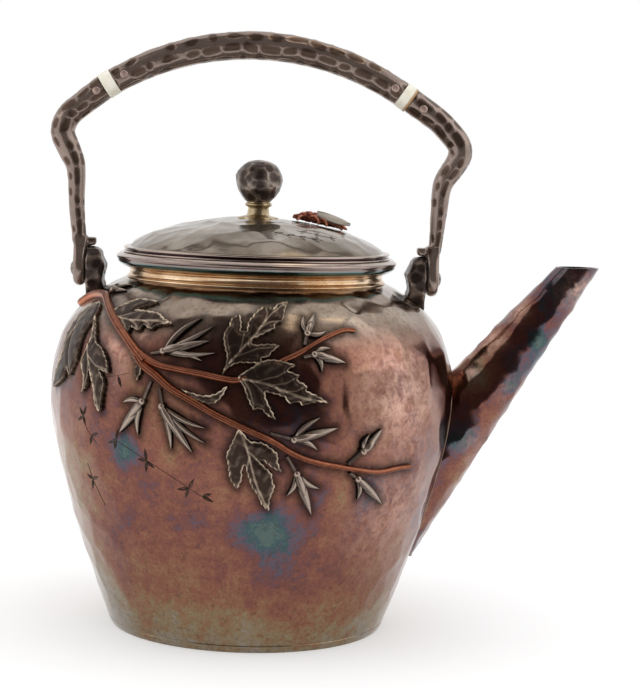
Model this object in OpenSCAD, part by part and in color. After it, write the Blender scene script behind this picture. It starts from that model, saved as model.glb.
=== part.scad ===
// Silver kettle with a swinging bail handle, a lift-off lid and an applied vine.
// Millimetres. The origin is the centre of the foot, on the surface that the kettle stands on.
// +Z is up, +X points to the spout, and the vine is on the -Y side.

/* [Body] */
// Radius of the foot
base_r = 54.4; // [50:0.2:60]
// Radius of the belly where it is widest
belly_r = 79.7; // [76:0.1:84]
// Height of the widest place of the belly
belly_z = 92; // [86:1:98]
// Height of the shoulder's top, where the neck is soldered on
shoulder_z = 137.4; // [133:0.2:144]
// Thickness of the raised sheet
wall = 1; // [0.8:0.1:1.4]
// Thickness of the soldered bottom disc
bottom_t = 1.4; // [1:0.1:2.5]
// Height of the line cut round the foot
foot_line_z = 3; // [2:0.1:5]

/* [Mouth] */
// Inner radius of the neck and the mouth
mouth_r = 48.8; // [47.4:0.1:50.4]
// Width of the shoulder's top edge round the mouth
shoulder_seat = 3; // [2.4:0.1:4]
// Thickness of the neck at its narrowest
neck_t = 1.2; // [1:0.1:1.6]
// Height of the neck from the shoulder to the rim
neck_h = 4.2; // [3.5:0.1:6]
// Width of the mouth rim, from the mouth outwards
rim_w = 6.7; // [5.8:0.1:8]
// Height of the mouth rim
rim_h = 5.6; // [5:0.1:7]

/* [Lid] */
// Reach of the ring round the lid past the mouth
lid_over = 4; // [3.2:0.1:5.4]
// Height of the ring round the lid
lid_ring_h = 2.5; // [2:0.1:4]
// Rise of the domed lid above its ring
lid_rise = 12.5; // [10:0.1:15]
// Depth of the bezel that drops into the neck
bezel_h = 8.5; // [6:0.1:9.5]
// Thickness of the bezel strip
bezel_t = 0.9; // [0.7:0.1:1.2]
// Gap all round between the bezel and the neck
bezel_gap = 0.45; // [0.3:0.05:0.8]
// Radius of the finial knob
knob_r = 9.2; // [8:0.1:10.5]
// Height of the finial knob
knob_h = 16.6; // [15:0.1:19]
// Height of the finial's waisted stem
knob_stem_h = 6.2; // [5:0.1:8]
// Radius of the threaded stud through the finial
stud_r = 1.5; // [1.2:0.1:1.9]

/* [Spout] */
// Distance from the kettle's axis to the middle of the spout's mouth
spout_x = 128.9; // [124:0.1:134]
// Height of the spout's level mouth
spout_z = 146.5; // [142:0.1:150]
// Slope of the spout's centre line above level
spout_slope = 53.1; // [50:0.1:56]
// Radius of the spout, square to its centre line, at the mouth
spout_r = 6.85; // [6:0.05:8]
// Half angle of the spout's taper
spout_taper = 5.95; // [5:0.05:6.6]
// Thickness of the spout's sheet
spout_wall = 0.9; // [0.7:0.1:1.3]

/* [Bail hinges] */
// Gap between the mouth rim and each ear
ear_gap = 4; // [3:0.1:5]
// Thickness of an ear at its foot
ear_t = 7.6; // [6.5:0.1:8.5]
// Height of the hinge pin above the shoulder below the ear's outer face
pin_rise = 12.5; // [11.8:0.1:14]
// Radius of an ear's round crown
ear_r = 8.9; // [8.2:0.1:9.4]
// Radius of a hinge pin
pin_r = 1.7; // [1.3:0.1:2.2]
// Radius of a hinge pin's domed head
pin_head_r = 3; // [2.6:0.1:3.6]
// Running gap round a hinge pin
pin_gap = 0.06; // [0.04:0.01:0.09]
// Gap between an ear and the paddle of the bail
hinge_gap = 0.3; // [0.2:0.05:0.6]
// Thickness of the bail's paddle
paddle_t = 5.1; // [4:0.1:6]
// Radius of the bail's paddle round its pin
paddle_r = 7.2; // [6.5:0.1:8]
// Thickness of the stop finger over an ear's crown
finger_t = 3.2; // [2.6:0.1:4]
// Gap between the stop finger and an ear's crown
finger_gap = 0.35; // [0.3:0.05:0.6]

/* [Bail grip] */
// Rise of the grip's centre line above the insulators
grip_rise = 17.6; // [14:0.1:21]
// Radius of the grip at its ends
grip_end_r = 5.1; // [4.8:0.05:5.6]
// Radius of the grip at its crown
grip_mid_r = 5.65; // [5:0.05:6.4]
// Thickness of an insulator disc
insulator_t = 4.8; // [4:0.1:6]
// Radius of an insulator disc
insulator_r = 5.25; // [4.9:0.05:5.9]
// Radius of the tenons on an insulator
tenon_r = 3.3; // [2.8:0.1:3.7]
// Length of the tenons on an insulator
tenon_h = 10; // [9.6:0.1:11]
// Radius of the cross pins that hold the tenons
cross_pin_r = 0.9; // [0.7:0.05:1.2]

/* [Vine] */
// Half width of the main stem
vine_w = 1.35; // [1:0.05:1.7]
// Gap left for solder below each applied piece
solder = 0.15; // [0.05:0.05:0.3]
// Thickness of a leaf at its midrib
leaf_t = 1.5; // [1:0.1:2]

/* [Hidden] */
$fn = 64;
SILVER = [0.42, 0.38, 0.35];
DARK_SILVER = [0.27, 0.24, 0.23];
BRONZE_PATINA = [0.47, 0.34, 0.30];
GILT = [0.78, 0.62, 0.36];
COPPER = [0.70, 0.38, 0.26];
IVORY = [0.93, 0.91, 0.83];
fit = 0.05;
eps = 0.01;

// Curves

function bezier(p, t) =
    pow(1 - t, 3) * p[0] + 3 * pow(1 - t, 2) * t * p[1] + 3 * (1 - t) * t * t * p[2] + pow(t, 3) * p[3];
function bezier_line(p, steps) = [for (i = [0:steps]) bezier(p, i / steps)];
function unit(v) = v / norm(v);
function kept(points, i) = points[max(0, min(len(points) - 1, i))];
function between(a, b, c, d, t) =
    0.5 * (2 * b + (c - a) * t + (2 * a - 5 * b + 4 * c - d) * t * t + (3 * b - a - 3 * c + d) * t * t * t);
function through(points, steps) = [
    for (i = [0:len(points) - 2]) for (k = [0:steps - 1])
        between(kept(points, i - 1), points[i], points[i + 1], kept(points, i + 2), k / steps),
    kept(points, len(points) - 1)
];
// Points on an arc about c, from angle a to angle b
function arc(c, r, a, b, steps) = [for (i = [0:steps]) let(g = a + (b - a) * i / steps) c + r * [cos(g), sin(g)]];
// An outline moved inwards by t, for a wall of even thickness
function inset(points, t) = [
    for (i = [0:len(points) - 1])
        let(d = unit(kept(points, i + 1) - kept(points, i - 1))) points[i] + t * [-d[1], d[0]]
];

// A closed skin over rings that have the same number of points
module skin(rings) {
    n = len(rings[0]);
    last = len(rings) - 1;
    sides = [for (i = [0:last - 1]) for (j = [0:n - 1]) let(k = (j + 1) % n, a = i * n, b = a + n)
        each [[a + j, b + j, b + k], [a + j, b + k, a + k]]];
    first_cap = [for (j = [1:n - 2]) [0, j, j + 1]];
    last_cap = [for (j = [1:n - 2]) [last * n, last * n + j + 1, last * n + j]];
    polyhedron([for (ring = rings) each ring], concat(sides, first_cap, last_cap));
}
// A ring of a round bar at c, running along t, with one side toward u
function bar_ring(c, t, u, r, sides) = let(v = cross(t, u))
    [for (i = [0:sides - 1]) c + r * (cos(360 * i / sides) * u + sin(360 * i / sides) * v)];
// A round bar through stations [x, y, z, radius], lying near the plane square to u
module bar(stations, u, sides, start = undef, end = undef) {
    last = len(stations) - 1;
    at = [for (s = stations) [s[0], s[1], s[2]]];
    skin([for (i = [0:last])
        let(t = i == 0 && start != undef ? start : i == last && end != undef ? end :
            unit(kept(at, i + 1) - kept(at, i - 1)))
        bar_ring(at[i], t, unit(u - (u * t) * t), stations[i][3], sides)]);
}

// Body

foot_rise = 0.435 * belly_z;
shoulder_h = shoulder_z - belly_z;
shoulder_top_r = mouth_r + shoulder_seat;
lower_outline = bezier_line([[base_r, 0],
    [base_r + 0.57 * (belly_r - base_r), foot_rise],
    [belly_r, 0.76 * belly_z],
    [belly_r, belly_z]], 16);
upper_outline = bezier_line([[belly_r, belly_z],
    [belly_r, belly_z + 0.51 * shoulder_h],
    [shoulder_top_r + 0.724 * (belly_r - shoulder_top_r), shoulder_z - 0.21 * shoulder_h],
    [shoulder_top_r, shoulder_z]], 20);
body_outline = concat(lower_outline, [for (i = [1:len(upper_outline) - 1]) upper_outline[i]]);
body_inside = inset(body_outline, wall);
inner_base_r = body_inside[0][0];
inner_slope = (body_inside[1][0] - body_inside[0][0]) / (body_inside[1][1] - body_inside[0][1]);
shoulder_table = [for (p = upper_outline) [p[0], p[1]]];

module body_mass() {
    rotate_extrude($fn = 96) polygon(concat([[0, 0]], body_outline, [[0, shoulder_z]]));
}
module body_shell() {
    inside = [for (i = [len(body_inside) - 2:-1:1]) body_inside[i]];
    color(BRONZE_PATINA) difference() {
        rotate_extrude($fn = 96) polygon(concat(body_outline,
            [[mouth_r, shoulder_z], [mouth_r, shoulder_z - wall]], inside, [[inner_base_r, 0]]));
        spout_cone(spout_wall);
        rotate_extrude($fn = 96) translate([lookup(foot_line_z, foot_table), foot_line_z])
            rotate(45) square(0.4, center = true);
    }
}
foot_table = [for (p = lower_outline) [p[1], p[0]]];
module base_plate() {
    color(BRONZE_PATINA)
        cylinder(h = bottom_t, r1 = inner_base_r - fit, r2 = inner_base_r + bottom_t * inner_slope - fit, $fn = 96);
}

// Mouth

neck_r = mouth_r + neck_t;
rim_r = mouth_r + rim_w;
rim_z = shoulder_z + neck_h;
mouth_z = rim_z + rim_h;
module neck_collar() {
    bead_r = 0.45;
    waist_half = neck_h / 2 - bead_r;
    waist_r = waist_half / sin(60);
    color(GILT) rotate_extrude($fn = 96) polygon(concat(
        [[mouth_r, shoulder_z]],
        arc([neck_r + 1.2 - bead_r, shoulder_z + bead_r], bead_r, -90, 90, 6),
        arc([neck_r + waist_r, rim_z - waist_half], waist_r, 240, 120, 8),
        [[mouth_r, rim_z]]));
}
module mouth_rim() {
    edge_r = 0.9;
    underside_r = neck_r + 1.1;
    color(SILVER) rotate_extrude($fn = 96) polygon(concat(
        [[mouth_r, rim_z], [underside_r, rim_z], [rim_r - 2.4, rim_z + 0.9], [rim_r - 0.5, rim_z + 2.1]],
        [[rim_r - 0.4, rim_z + 2.9]],
        arc([rim_r - edge_r, mouth_z - 1.6], edge_r, -35, 80, 6),
        [[rim_r - 1.5, mouth_z], [mouth_r, mouth_z]]));
}

// Spout

// The spout's cone, cut level at its mouth, drawn in by t all round
module spout_cone(t) {
    length = 150;
    past = 14;
    shrink = t / cos(spout_taper);
    difference() {
        translate([spout_x, 0, spout_z]) rotate([0, 90 - spout_slope, 0]) translate([0, 0, -length])
            cylinder(h = length + past,
                r1 = spout_r + length * tan(spout_taper) - shrink,
                r2 = spout_r - past * tan(spout_taper) - shrink);
        if (t == 0) translate([spout_x - 40, -40, spout_z]) cube([80, 80, 40]);
    }
}
module spout() {
    color(BRONZE_PATINA) difference() {
        spout_cone(0);
        spout_cone(spout_wall);
        body_mass();
    }
}

// Hinges of the bail

ear_in_x = rim_r + ear_gap;
ear_x = ear_in_x + ear_t;
pin_z = lookup(ear_x, shoulder_table) + pin_rise;
ear_top = pin_z + ear_r;
paddle_x = ear_x + hinge_gap;
finger_in_r = ear_r + finger_gap;
// Side view of an ear: a round crown on a waisted foot
module ear_side() {
    foot_z = -pin_rise - 4;
    cylinder(h = ear_t, r = ear_r);
    linear_extrude(ear_t) polygon([[-ear_r * 0.8, 0], [-ear_r * 0.86, -ear_r * 0.46], [-5.2, -pin_rise + 1.5],
        [-5.6, foot_z], [5.6, foot_z], [5.2, -pin_rise + 1.5], [ear_r * 0.86, -ear_r * 0.46], [ear_r * 0.8, 0]]);
}
// Front view of an ear: upright outside, leaning and rounded inside
module ear_front() {
    crown_r = 3.6;
    crown_x = ear_in_x + 1.7 + crown_r;
    inner_foot = lookup(ear_in_x, shoulder_table) - pin_z;
    polygon(concat([[ear_x, -pin_rise - 4], [ear_x, ear_r]],
        arc([crown_x, ear_r - crown_r], crown_r, 90, 180, 6),
        [[ear_in_x, 1.5], [ear_in_x + 1.2, inner_foot + 2.4], [ear_in_x + 0.3, inner_foot],
        [ear_in_x + 0.3, -pin_rise - 4]]));
}
module ear_shape() {
    difference() {
        intersection() {
            translate([ear_in_x, 0, pin_z]) rotate([90, 0, 90]) ear_side();
            translate([0, 15, pin_z]) rotate([90, 0, 0]) linear_extrude(30) ear_front();
        }
        body_mass();
        translate([0, 0, pin_z]) rotate([0, 90, 0]) cylinder(h = 2 * ear_x, r = pin_r);
    }
}
module ear_right() { color(DARK_SILVER) ear_shape(); }
module ear_left() { color(DARK_SILVER) mirror([1, 0, 0]) ear_shape(); }
module hinge_pin_shape() {
    head_x = paddle_x + paddle_t + 0.15;
    head_h = 1.1;
    dome_r = (pin_head_r * pin_head_r + head_h * head_h) / (2 * head_h);
    translate([0, 0, pin_z]) rotate([0, 90, 0]) rotate_extrude()
        polygon(concat([[0, ear_in_x + 0.4], [pin_r, ear_in_x + 0.4], [pin_r, head_x], [pin_head_r, head_x]],
            [for (i = [1:7]) let(g = asin(pin_head_r / dome_r) * (1 - i / 7))
                [dome_r * sin(g), head_x + head_h - dome_r * (1 - cos(g))]]));
}
module hinge_pin_right() { color(DARK_SILVER) hinge_pin_shape(); }
module hinge_pin_left() { color(DARK_SILVER) mirror([1, 0, 0]) hinge_pin_shape(); }

// Bail

// Stations of each arm's centre line: how far outside the paddle's middle, how far above the pin, and radius
left_arm = [[0.4, 10, 2.9], [0.65, 13, 2.95], [1.45, 20, 3.05], [1.95, 28, 3.25], [2.15, 36, 3.6],
    [2.95, 41.5, 4.1], [5.5, 47, 4.7], [8, 53.5, 4.85], [6, 59.5, 4.9], [1.45, 64, 4.95]];
right_arm = [[0.4, 10, 2.7], [0.85, 13, 2.7], [1.35, 20, 3], [1.85, 28, 3.5], [2.35, 35, 3.8],
    [3.65, 39.5, 4.2], [6.85, 44.5, 4.6], [9.25, 49.5, 4.9], [8.45, 54, 4.9], [4.75, 58.5, 4.9], [-0.65, 63.5, 4.95]];
// Middle of each insulator, measured in the same way
left_joint = [-10, 72.8];
right_joint = [-12.9, 71.6];
arm_x = paddle_x + paddle_t / 2;
left_at = [-(arm_x + left_joint[0]), pin_z + left_joint[1]];
right_at = [arm_x + right_joint[0], pin_z + right_joint[1]];
// The grip's centre line is an arc through both insulators
chord = right_at - left_at;
half_chord = norm(chord) / 2;
grip_arc_r = (half_chord * half_chord + grip_rise * grip_rise) / (2 * grip_rise);
chord_tilt = atan2(chord[1], chord[0]);
grip_centre = (left_at + right_at) / 2 + (grip_arc_r - grip_rise) * [sin(chord_tilt), -cos(chord_tilt)];
half_sweep = asin(half_chord / grip_arc_r);
face_turn = asin(insulator_t / 2 / grip_arc_r);
left_slope = half_sweep + chord_tilt;
right_slope = -half_sweep + chord_tilt;
rivets_in_grip = [7, 5.8];
rivets_in_arm = [5.6, 8];

// Moves a part that is drawn along +Z to an insulator, so that +Z runs along the bail toward the right
module at_insulator(side) {
    at = side == 0 ? left_at : right_at;
    slope = side == 0 ? left_slope : right_slope;
    translate([at[0], 0, at[1]]) rotate([0, 90 - slope, 0]) children();
}
// Bores for a tenon and its cross pin, to one side of an insulator: way is 1 toward the right
module socket(side, way, rivet) {
    at_insulator(side) {
        translate([0, 0, way > 0 ? insulator_t / 2 - 1 : -insulator_t / 2 - tenon_h - 0.3])
            cylinder(h = tenon_h + 1.3, r = tenon_r + fit);
        translate([0, 0, way * rivet]) rotate([90, 0, 0]) cylinder(h = 20, r = cross_pin_r, center = true);
    }
}
module bail_grip() {
    steps = 30;
    sweep = 2 * (half_sweep - face_turn);
    color(DARK_SILVER) difference() {
        bar([for (i = [0:steps])
            let(g = 90 + chord_tilt + half_sweep - face_turn - sweep * i / steps,
                r = grip_end_r + (grip_mid_r - grip_end_r) * sin(180 * i / steps))
            [grip_centre[0] + grip_arc_r * cos(g), 0, grip_centre[1] + grip_arc_r * sin(g), r]],
            [0, 1, 0], 16,
            [cos(left_slope), 0, sin(left_slope)], [cos(right_slope), 0, sin(right_slope)]);
        socket(0, 1, rivets_in_grip[0]);
        socket(1, -1, rivets_in_grip[1]);
    }
}
// An arm, drawn on the +X side: paddle, stop finger and the bent bar up to the insulator
module bail_arm(stations, joint, slope) {
    path = concat(stations, [[joint[0], joint[1], grip_end_r] + insulator_t / 2 * [cos(slope), -sin(slope), 0]]);
    corner = 2.2;
    color(DARK_SILVER) difference() {
        union() {
            intersection() {
                translate([paddle_x, 0, pin_z]) rotate([90, 0, 90]) linear_extrude(paddle_t) {
                    circle(r = paddle_r);
                    polygon([[-paddle_r * 0.94, paddle_r * 0.34], [-3.2, 13], [3.2, 13],
                        [paddle_r * 0.94, paddle_r * 0.34]]);
                }
                translate([paddle_x, 10, pin_z]) rotate([90, 0, 0]) linear_extrude(20)
                    polygon(concat([[0, 20]], arc([corner, corner - paddle_r], corner, 180, 270, 5),
                        arc([paddle_t - corner, corner - paddle_r], corner, 270, 360, 5), [[paddle_t, 20]]));
            }
            translate([0, 0, pin_z]) intersection() {
                rotate([0, 90, 0]) translate([0, 0, ear_x - 3.5]) difference() {
                    cylinder(h = 3.5 + hinge_gap + 1, r = finger_in_r + finger_t);
                    translate([0, 0, -1]) cylinder(h = 20, r = finger_in_r);
                }
                translate([ear_x - 4, -2.7, 0]) cube([8, 5.4, 20]);
            }
            bar([for (s = through(path, 3)) [arm_x + s[0], 0, pin_z + s[1], s[2]]],
                [0, -1, 0], 16, [0, 0, 1], [-cos(slope), 0, sin(slope)]);
        }
        translate([0, 0, pin_z]) rotate([0, 90, 0]) cylinder(h = 2 * ear_x, r = pin_r + pin_gap);
    }
}
module bail_arm_left() {
    color(DARK_SILVER) difference() {
        mirror([1, 0, 0]) bail_arm(left_arm, left_joint, left_slope);
        socket(0, -1, rivets_in_arm[0]);
    }
}
module bail_arm_right() {
    color(DARK_SILVER) difference() {
        bail_arm(right_arm, right_joint, -right_slope);
        socket(1, 1, rivets_in_arm[1]);
    }
}
module insulator(side) {
    below = side == 0 ? rivets_in_arm[0] : rivets_in_grip[1];
    above = side == 0 ? rivets_in_grip[0] : rivets_in_arm[1];
    color(IVORY) at_insulator(side) difference() {
        union() {
            cylinder(h = insulator_t, r = insulator_r, center = true);
            cylinder(h = insulator_t + 2 * tenon_h, r = tenon_r, center = true);
        }
        for (z = [-below, above]) translate([0, 0, z]) rotate([90, 0, 0])
            cylinder(h = 20, r = cross_pin_r, center = true);
    }
}
module insulator_left() { insulator(0); }
module insulator_right() { insulator(1); }
// Cross pins with a domed head at each end
module cross_pins(side) {
    below = side == 0 ? rivets_in_arm[0] : rivets_in_grip[1];
    above = side == 0 ? rivets_in_grip[0] : rivets_in_arm[1];
    head_r = 1.6;
    head_h = 0.7;
    half = grip_end_r + fit;
    color(SILVER) at_insulator(side) for (z = [-below, above]) translate([0, 0, z]) rotate([90, 0, 0])
        rotate_extrude() polygon(concat([[0, -half - head_h]],
            [for (i = [1:5]) [head_r * sin(90 * i / 5), -half - head_h * cos(90 * i / 5)]],
            [[cross_pin_r, -half], [cross_pin_r, half]],
            [for (i = [5:-1:0]) [head_r * sin(90 * i / 5), half + head_h * cos(90 * i / 5)]]));
}
module cross_pins_left() { cross_pins(0); }
module cross_pins_right() { cross_pins(1); }

// Lid

lid_r = mouth_r + lid_over;
lid_ring_z = mouth_z + lid_ring_h;
dome_r = lid_r - 2.3;
dome_outline = bezier_line([[0, lid_ring_z + lid_rise],
    [0.4 * dome_r, lid_ring_z + lid_rise],
    [0.832 * dome_r, lid_ring_z + 0.6 * lid_rise],
    [dome_r, lid_ring_z]], 16);
dome_table = dome_outline;
dome_top = lid_ring_z + lid_rise;
bezel_r = mouth_r - bezel_gap;
module lid_dome() {
    inside = [for (p = inset(dome_outline, -wall)) [max(p[0], 0), p[1]]];
    color(SILVER) difference() {
        rotate_extrude($fn = 96) polygon(concat(dome_outline,
            [[inside[len(inside) - 1][0] - 0.4, lid_ring_z]],
            [for (i = [len(inside) - 2:-1:0]) inside[i]]));
        cylinder(h = 2 * dome_top, r = stud_r + fit);
    }
}
module lid_ring() {
    edge_r = 0.7;
    color(SILVER) rotate_extrude($fn = 96) polygon(concat(
        [[bezel_r, mouth_z], [lid_r - 0.2, mouth_z], [lid_r, mouth_z + 0.5]],
        arc([lid_r - edge_r, lid_ring_z - edge_r], edge_r, 0, 90, 5),
        [[dome_r - 3.5, lid_ring_z], [dome_r - 3.5, mouth_z + 1], [bezel_r, mouth_z + 1]]));
}
module lid_bezel() {
    color(SILVER) translate([0, 0, mouth_z - bezel_h]) difference() {
        cylinder(h = bezel_h + 1, r = bezel_r, $fn = 96);
        translate([0, 0, -eps]) cylinder(h = bezel_h + 2, r = bezel_r - bezel_t, $fn = 96);
    }
}
// The knob is a ball drawn in a little below, like a bud
knob_z = dome_top + knob_stem_h;
module finial_knob() {
    color(DARK_SILVER) difference() {
        rotate_extrude() polygon(concat([[0, knob_z], [0.62 * knob_r, knob_z]],
            [for (p = through([[0.66, 0.02], [0.83, 0.15], [0.96, 0.34], [1, 0.52], [0.93, 0.72], [0.76, 0.88],
                [0.42, 0.98], [0, 1]], 3)) [knob_r * p[0], knob_z + knob_h * p[1]]]));
        translate([0, 0, knob_z - eps]) cylinder(h = 9, r = stud_r);
    }
}
module finial_stem() {
    color(GILT) difference() {
        rotate_extrude() polygon(concat([[0, dome_top - 0.6], [8.2, dome_top - 0.6]],
            through([[8, dome_top + 0.3], [5.6, dome_top + 1.1], [4.4, dome_top + 2.8], [4.7, dome_top + 3.9],
                [5.9, dome_top + 4.9], [6, knob_z - 0.4]], 3),
            [[5.6, knob_z], [0, knob_z]]));
        cylinder(h = 2 * dome_top, r = stud_r);
        rotate_extrude($fn = 96) polygon(concat([[0, 0]], dome_outline, [[dome_r, 0]]));
    }
}
nut_h = 3;
nut_top = dome_top - wall - 0.1;
module finial_stud() {
    color(SILVER) translate([0, 0, nut_top - nut_h - 1.2]) cylinder(h = knob_z + 9 - nut_top + nut_h + 1.2, r = stud_r);
}
module finial_nut() {
    color(SILVER) translate([0, 0, nut_top - nut_h]) difference() {
        cylinder(h = nut_h, r = 3.6, $fn = 6);
        translate([0, 0, -eps]) cylinder(h = nut_h + 1, r = stud_r);
    }
}

// Insect on the lid, drawn flat with its head toward -X and then laid on the dome

insect_r = 24;
insect_z = lookup(insect_r, dome_table);
insect_slope = atan((lookup(insect_r - 6, dome_table) - lookup(insect_r + 6, dome_table)) / 12);
module on_lid() {
    translate([insect_r, 0, insect_z]) rotate([0, insect_slope, 0]) children();
}
module insect_body() {
    body = [[-11, 1.6, 0.35], [-9.6, 1.9, 1], [-8.2, 2.2, 1.35], [-6.4, 2.4, 1.3], [-5.6, 2.5, 1.15],
        [-4, 2.7, 1.75], [-1.5, 2.7, 1.95], [0.8, 2.4, 1.6], [1.6, 2.3, 1.25], [3.4, 2.1, 1.75],
        [6, 1.8, 1.65], [8.6, 1.4, 1.2], [10.4, 1, 0.75], [11.4, 0.8, 0.2]];
    color(COPPER) on_lid() bar([for (s = body) [s[0], 0, s[1], s[2]]], [0, 1, 0], 10, [1, 0, 0], [1, 0, 0]);
}
module insect_leg(x, reach, lean, way) {
    bar([[x, way * 1.9, 1.9, 0.32], [x + 0.3 * lean, way * (2 + 0.45 * reach), 2.6, 0.4],
        [x + lean, way * (2 + reach), 0.25, 0.26], [x + 1.6 * lean, way * (2.5 + reach), 0.25, 0.16]],
        [1, 0, 0], 6);
}
module insect_legs() {
    color(COPPER) on_lid() for (way = [-1, 1]) {
        insect_leg(-4.6, 2.6, -1.8, way);
        insect_leg(-2, 3, 0.4, way);
        insect_leg(0.4, 3.2, 2.6, way);
    }
}
// Each wing is a thin blade folded back over the abdomen
module insect_wings() {
    color(SILVER) on_lid() for (way = [-1, 1])
        skin([for (s = [[-1.6, 0.5, 0.3, 5], [1.5, 1.2, 1, 5], [5, 2, 1.6, 4.5], [9, 2.9, 1.8, 3.8],
            [11.6, 3.4, 1.2, 3.4], [12.4, 3.6, 0.3, 3.3]])
            [[s[0], way * s[1] + s[2], s[3]], [s[0], way * s[1] + s[2] * 0.6, s[3] + 0.35],
            [s[0], way * s[1] - s[2] * 0.6, s[3] + 0.35], [s[0], way * s[1] - s[2], s[3]]]]);
}

// Vine: places on the body are [azimuth from the front toward the spout, drop down the wall from the shoulder's top].
// Drops and all lengths of the vine are in parts, of which the wall has 153 from the shoulder's top to the foot.

steps_down = [for (i = [len(body_outline) - 1:-1:1]) norm(body_outline[i] - body_outline[i - 1])];
function down_to(i) = i == 0 ? 0 : steps_down[i - 1] + down_to(i - 1);
part = down_to(len(steps_down)) / 153;
r_by_drop = [for (i = [0:len(body_outline) - 1]) [down_to(i) / part, body_outline[len(body_outline) - 1 - i][0]]];
z_by_drop = [for (i = [0:len(body_outline) - 1]) [down_to(i) / part, body_outline[len(body_outline) - 1 - i][1]]];
// The drop at the outer side of each ear's foot
ear_drop = lookup(ear_x, [for (i = [0:len(upper_outline) - 1]) [r_by_drop[i][1], r_by_drop[i][0]]]);
function wall_at(drop) = [lookup(drop, r_by_drop), lookup(drop, z_by_drop)];
function outward(drop) = let(d = unit(wall_at(drop + 1) - wall_at(drop - 1))) [-d[1], d[0]];
function on_body(azimuth, drop, height) = let(p = wall_at(drop) + (solder + height * part) * outward(drop))
    [p[0] * sin(azimuth), -p[0] * cos(azimuth), p[1]];
function degrees_for(length, drop) = length * part / lookup(drop, r_by_drop) * 180 / PI;
// The place that lies along and across mm from another, with along turned up from level by heading
function beside(place, along, across, heading) =
    let(drop = place[1] - along * sin(heading) - across * cos(heading),
        level = along * cos(heading) - across * sin(heading))
    [place[0] + degrees_for(level, drop), drop];

// A raised strip on the wall through stations [azimuth, drop, left, right, edge height, ridge height, lift]
module relief(stations) {
    skin([for (i = [0:len(stations) - 1])
        let(s = stations[i], a = kept(stations, i - 1), b = kept(stations, i + 1),
            level = (b[0] - a[0]) * PI / 180 * lookup(s[1], r_by_drop) / part,
            heading = atan2(a[1] - b[1], level), low = s[6])
        [for (q = [[0, low + s[5]], [-s[3], low + s[4]], [-s[3], low], [0, low], [s[2], low], [s[2], low + s[4]]])
            let(p = beside([s[0], s[1]], 0, q[0], heading)) on_body(p[0], p[1], q[1])]]);
}
// A twig along places, with a half width at each end
module twig(places, w0, w1, steps = 4, lift = 0) {
    path = through(places, steps);
    last = len(path) - 1;
    relief([for (i = [0:last]) let(w = w0 + (w1 - w0) * i / last)
        [path[i][0], path[i][1], w, w, 0.9 * w, 1.7 * w, lift]]);
}
// Half width along a toothed lobe, as shares of its length and of its greatest half width
lobe_teeth = [[0, 0.12], [0.14, 0.5], [0.3, 0.92], [0.42, 1], [0.47, 0.72], [0.63, 0.82], [0.68, 0.52],
    [0.82, 0.5], [0.87, 0.26], [1, 0.02]];
// A lobe from one spot of a leaf to another, both [along, across] from the leaf's place
module lobe(place, heading, from, to, w, lift) {
    span = to - from;
    h = leaf_t / part;
    relief([for (s = lobe_teeth)
        let(p = from + s[0] * span, at = beside(place, p[0], p[1], heading))
        [at[0], at[1], w * s[1], w * s[1], 0.5 * h, h * (1 - 0.5 * s[0]), lift]]);
}
module leaf(place, heading, lobes, lift = 0) {
    color(DARK_SILVER) union() for (b = lobes)
        lobe(place, heading, [b[0], b[1]], [b[2], b[3]], b[4], lift);
}
// A petal or bract between two places, fullest near its middle
petal_form = [[0, 0.3], [0.2, 0.75], [0.45, 1], [0.72, 0.72], [1, 0.05]];
module petal(from, to, w, h, lift = 0) {
    relief([for (s = petal_form) let(p = from + s[0] * (to - from))
        [p[0], p[1], w * s[1], w * s[1], 0.45 * h, h * (0.4 + 0.6 * s[1]), lift]]);
}
// A bud: a twig, a knop where the petals spring, the full bud in the middle and petals beside it.
// Each lies a step higher than the one before, as separate pieces of sheet do.
module bud(foot, knop, middle, petals, w = 2.1) {
    step = 0.07;
    color(SILVER) union() {
        relief([for (s = [[foot, 0.5], [(foot + knop) / 2, 0.45], [knop, 0.6]])
            [s[0][0], s[0][1], s[1], s[1], 0.6, 0.9, 0]]);
        petal(knop + 0.16 * (knop - middle), knop + 0.2 * (middle - knop), 1.1, 2.1, step);
        petal(knop, middle, w, 2.6, 2 * step);
        for (i = [0:len(petals) - 1])
            petal(knop + 0.05 * (petals[i] - knop), petals[i], 0.62 * w, 1.5, (3 + i) * step);
    }
}

stem_w = vine_w / part;
// The stem starts just below the left ear's foot
module vine_stem() {
    color(COPPER) twig([[-98, ear_drop + 2.3], [-90, ear_drop + 2], [-85.6, ear_drop + 1.7],
        [-82.2, ear_drop - 0.9], [-77, 14.2], [-69.5, 12.8], [-62.8, 13.8], [-53.1, 19.2], [-43.8, 26.1],
        [-37.7, 31.2], [-32, 36.4]], stem_w, 0.85 * stem_w, 3);
}
module vine_branch_upper() {
    color(COPPER) twig([[-30.2, 37.2], [-25.8, 39.2], [-21.1, 40], [-13.8, 41.2], [-8.4, 42.4], [-3.7, 42.7],
        [2.4, 39.2], [7.9, 35.4], [13.3, 31.9], [19.6, 27.1], [27, 23.4], [31.1, 23.5]],
        0.8 * stem_w, 0.42 * stem_w, 3);
}
module vine_branch_lower() {
    color(COPPER) twig([[-30.6, 39.8], [-26.4, 42.9], [-21.6, 47.3], [-15.2, 51.4], [-10.1, 55], [-2.6, 59.6],
        [4.9, 64], [12.5, 69.9], [18.6, 72.7], [25.4, 74.6], [36.4, 77.4], [44.6, 77], [50.4, 77]],
        0.8 * stem_w, 0.4 * stem_w, 3);
}
module leaf_outer_left() {
    leaf([-64.5, 18.5], -107, [[0, 0, 37, 0, 5.4], [3, 3, 26, 12.4, 3.6]]);
}
module leaf_hanging_left() {
    leaf([-57.4, 24.5], -61, [[0, 0, 38.6, 0, 4], [9, 0, 28.5, -6.2, 3.2], [9, 1, 28, 9, 3.4]]);
}
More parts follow.
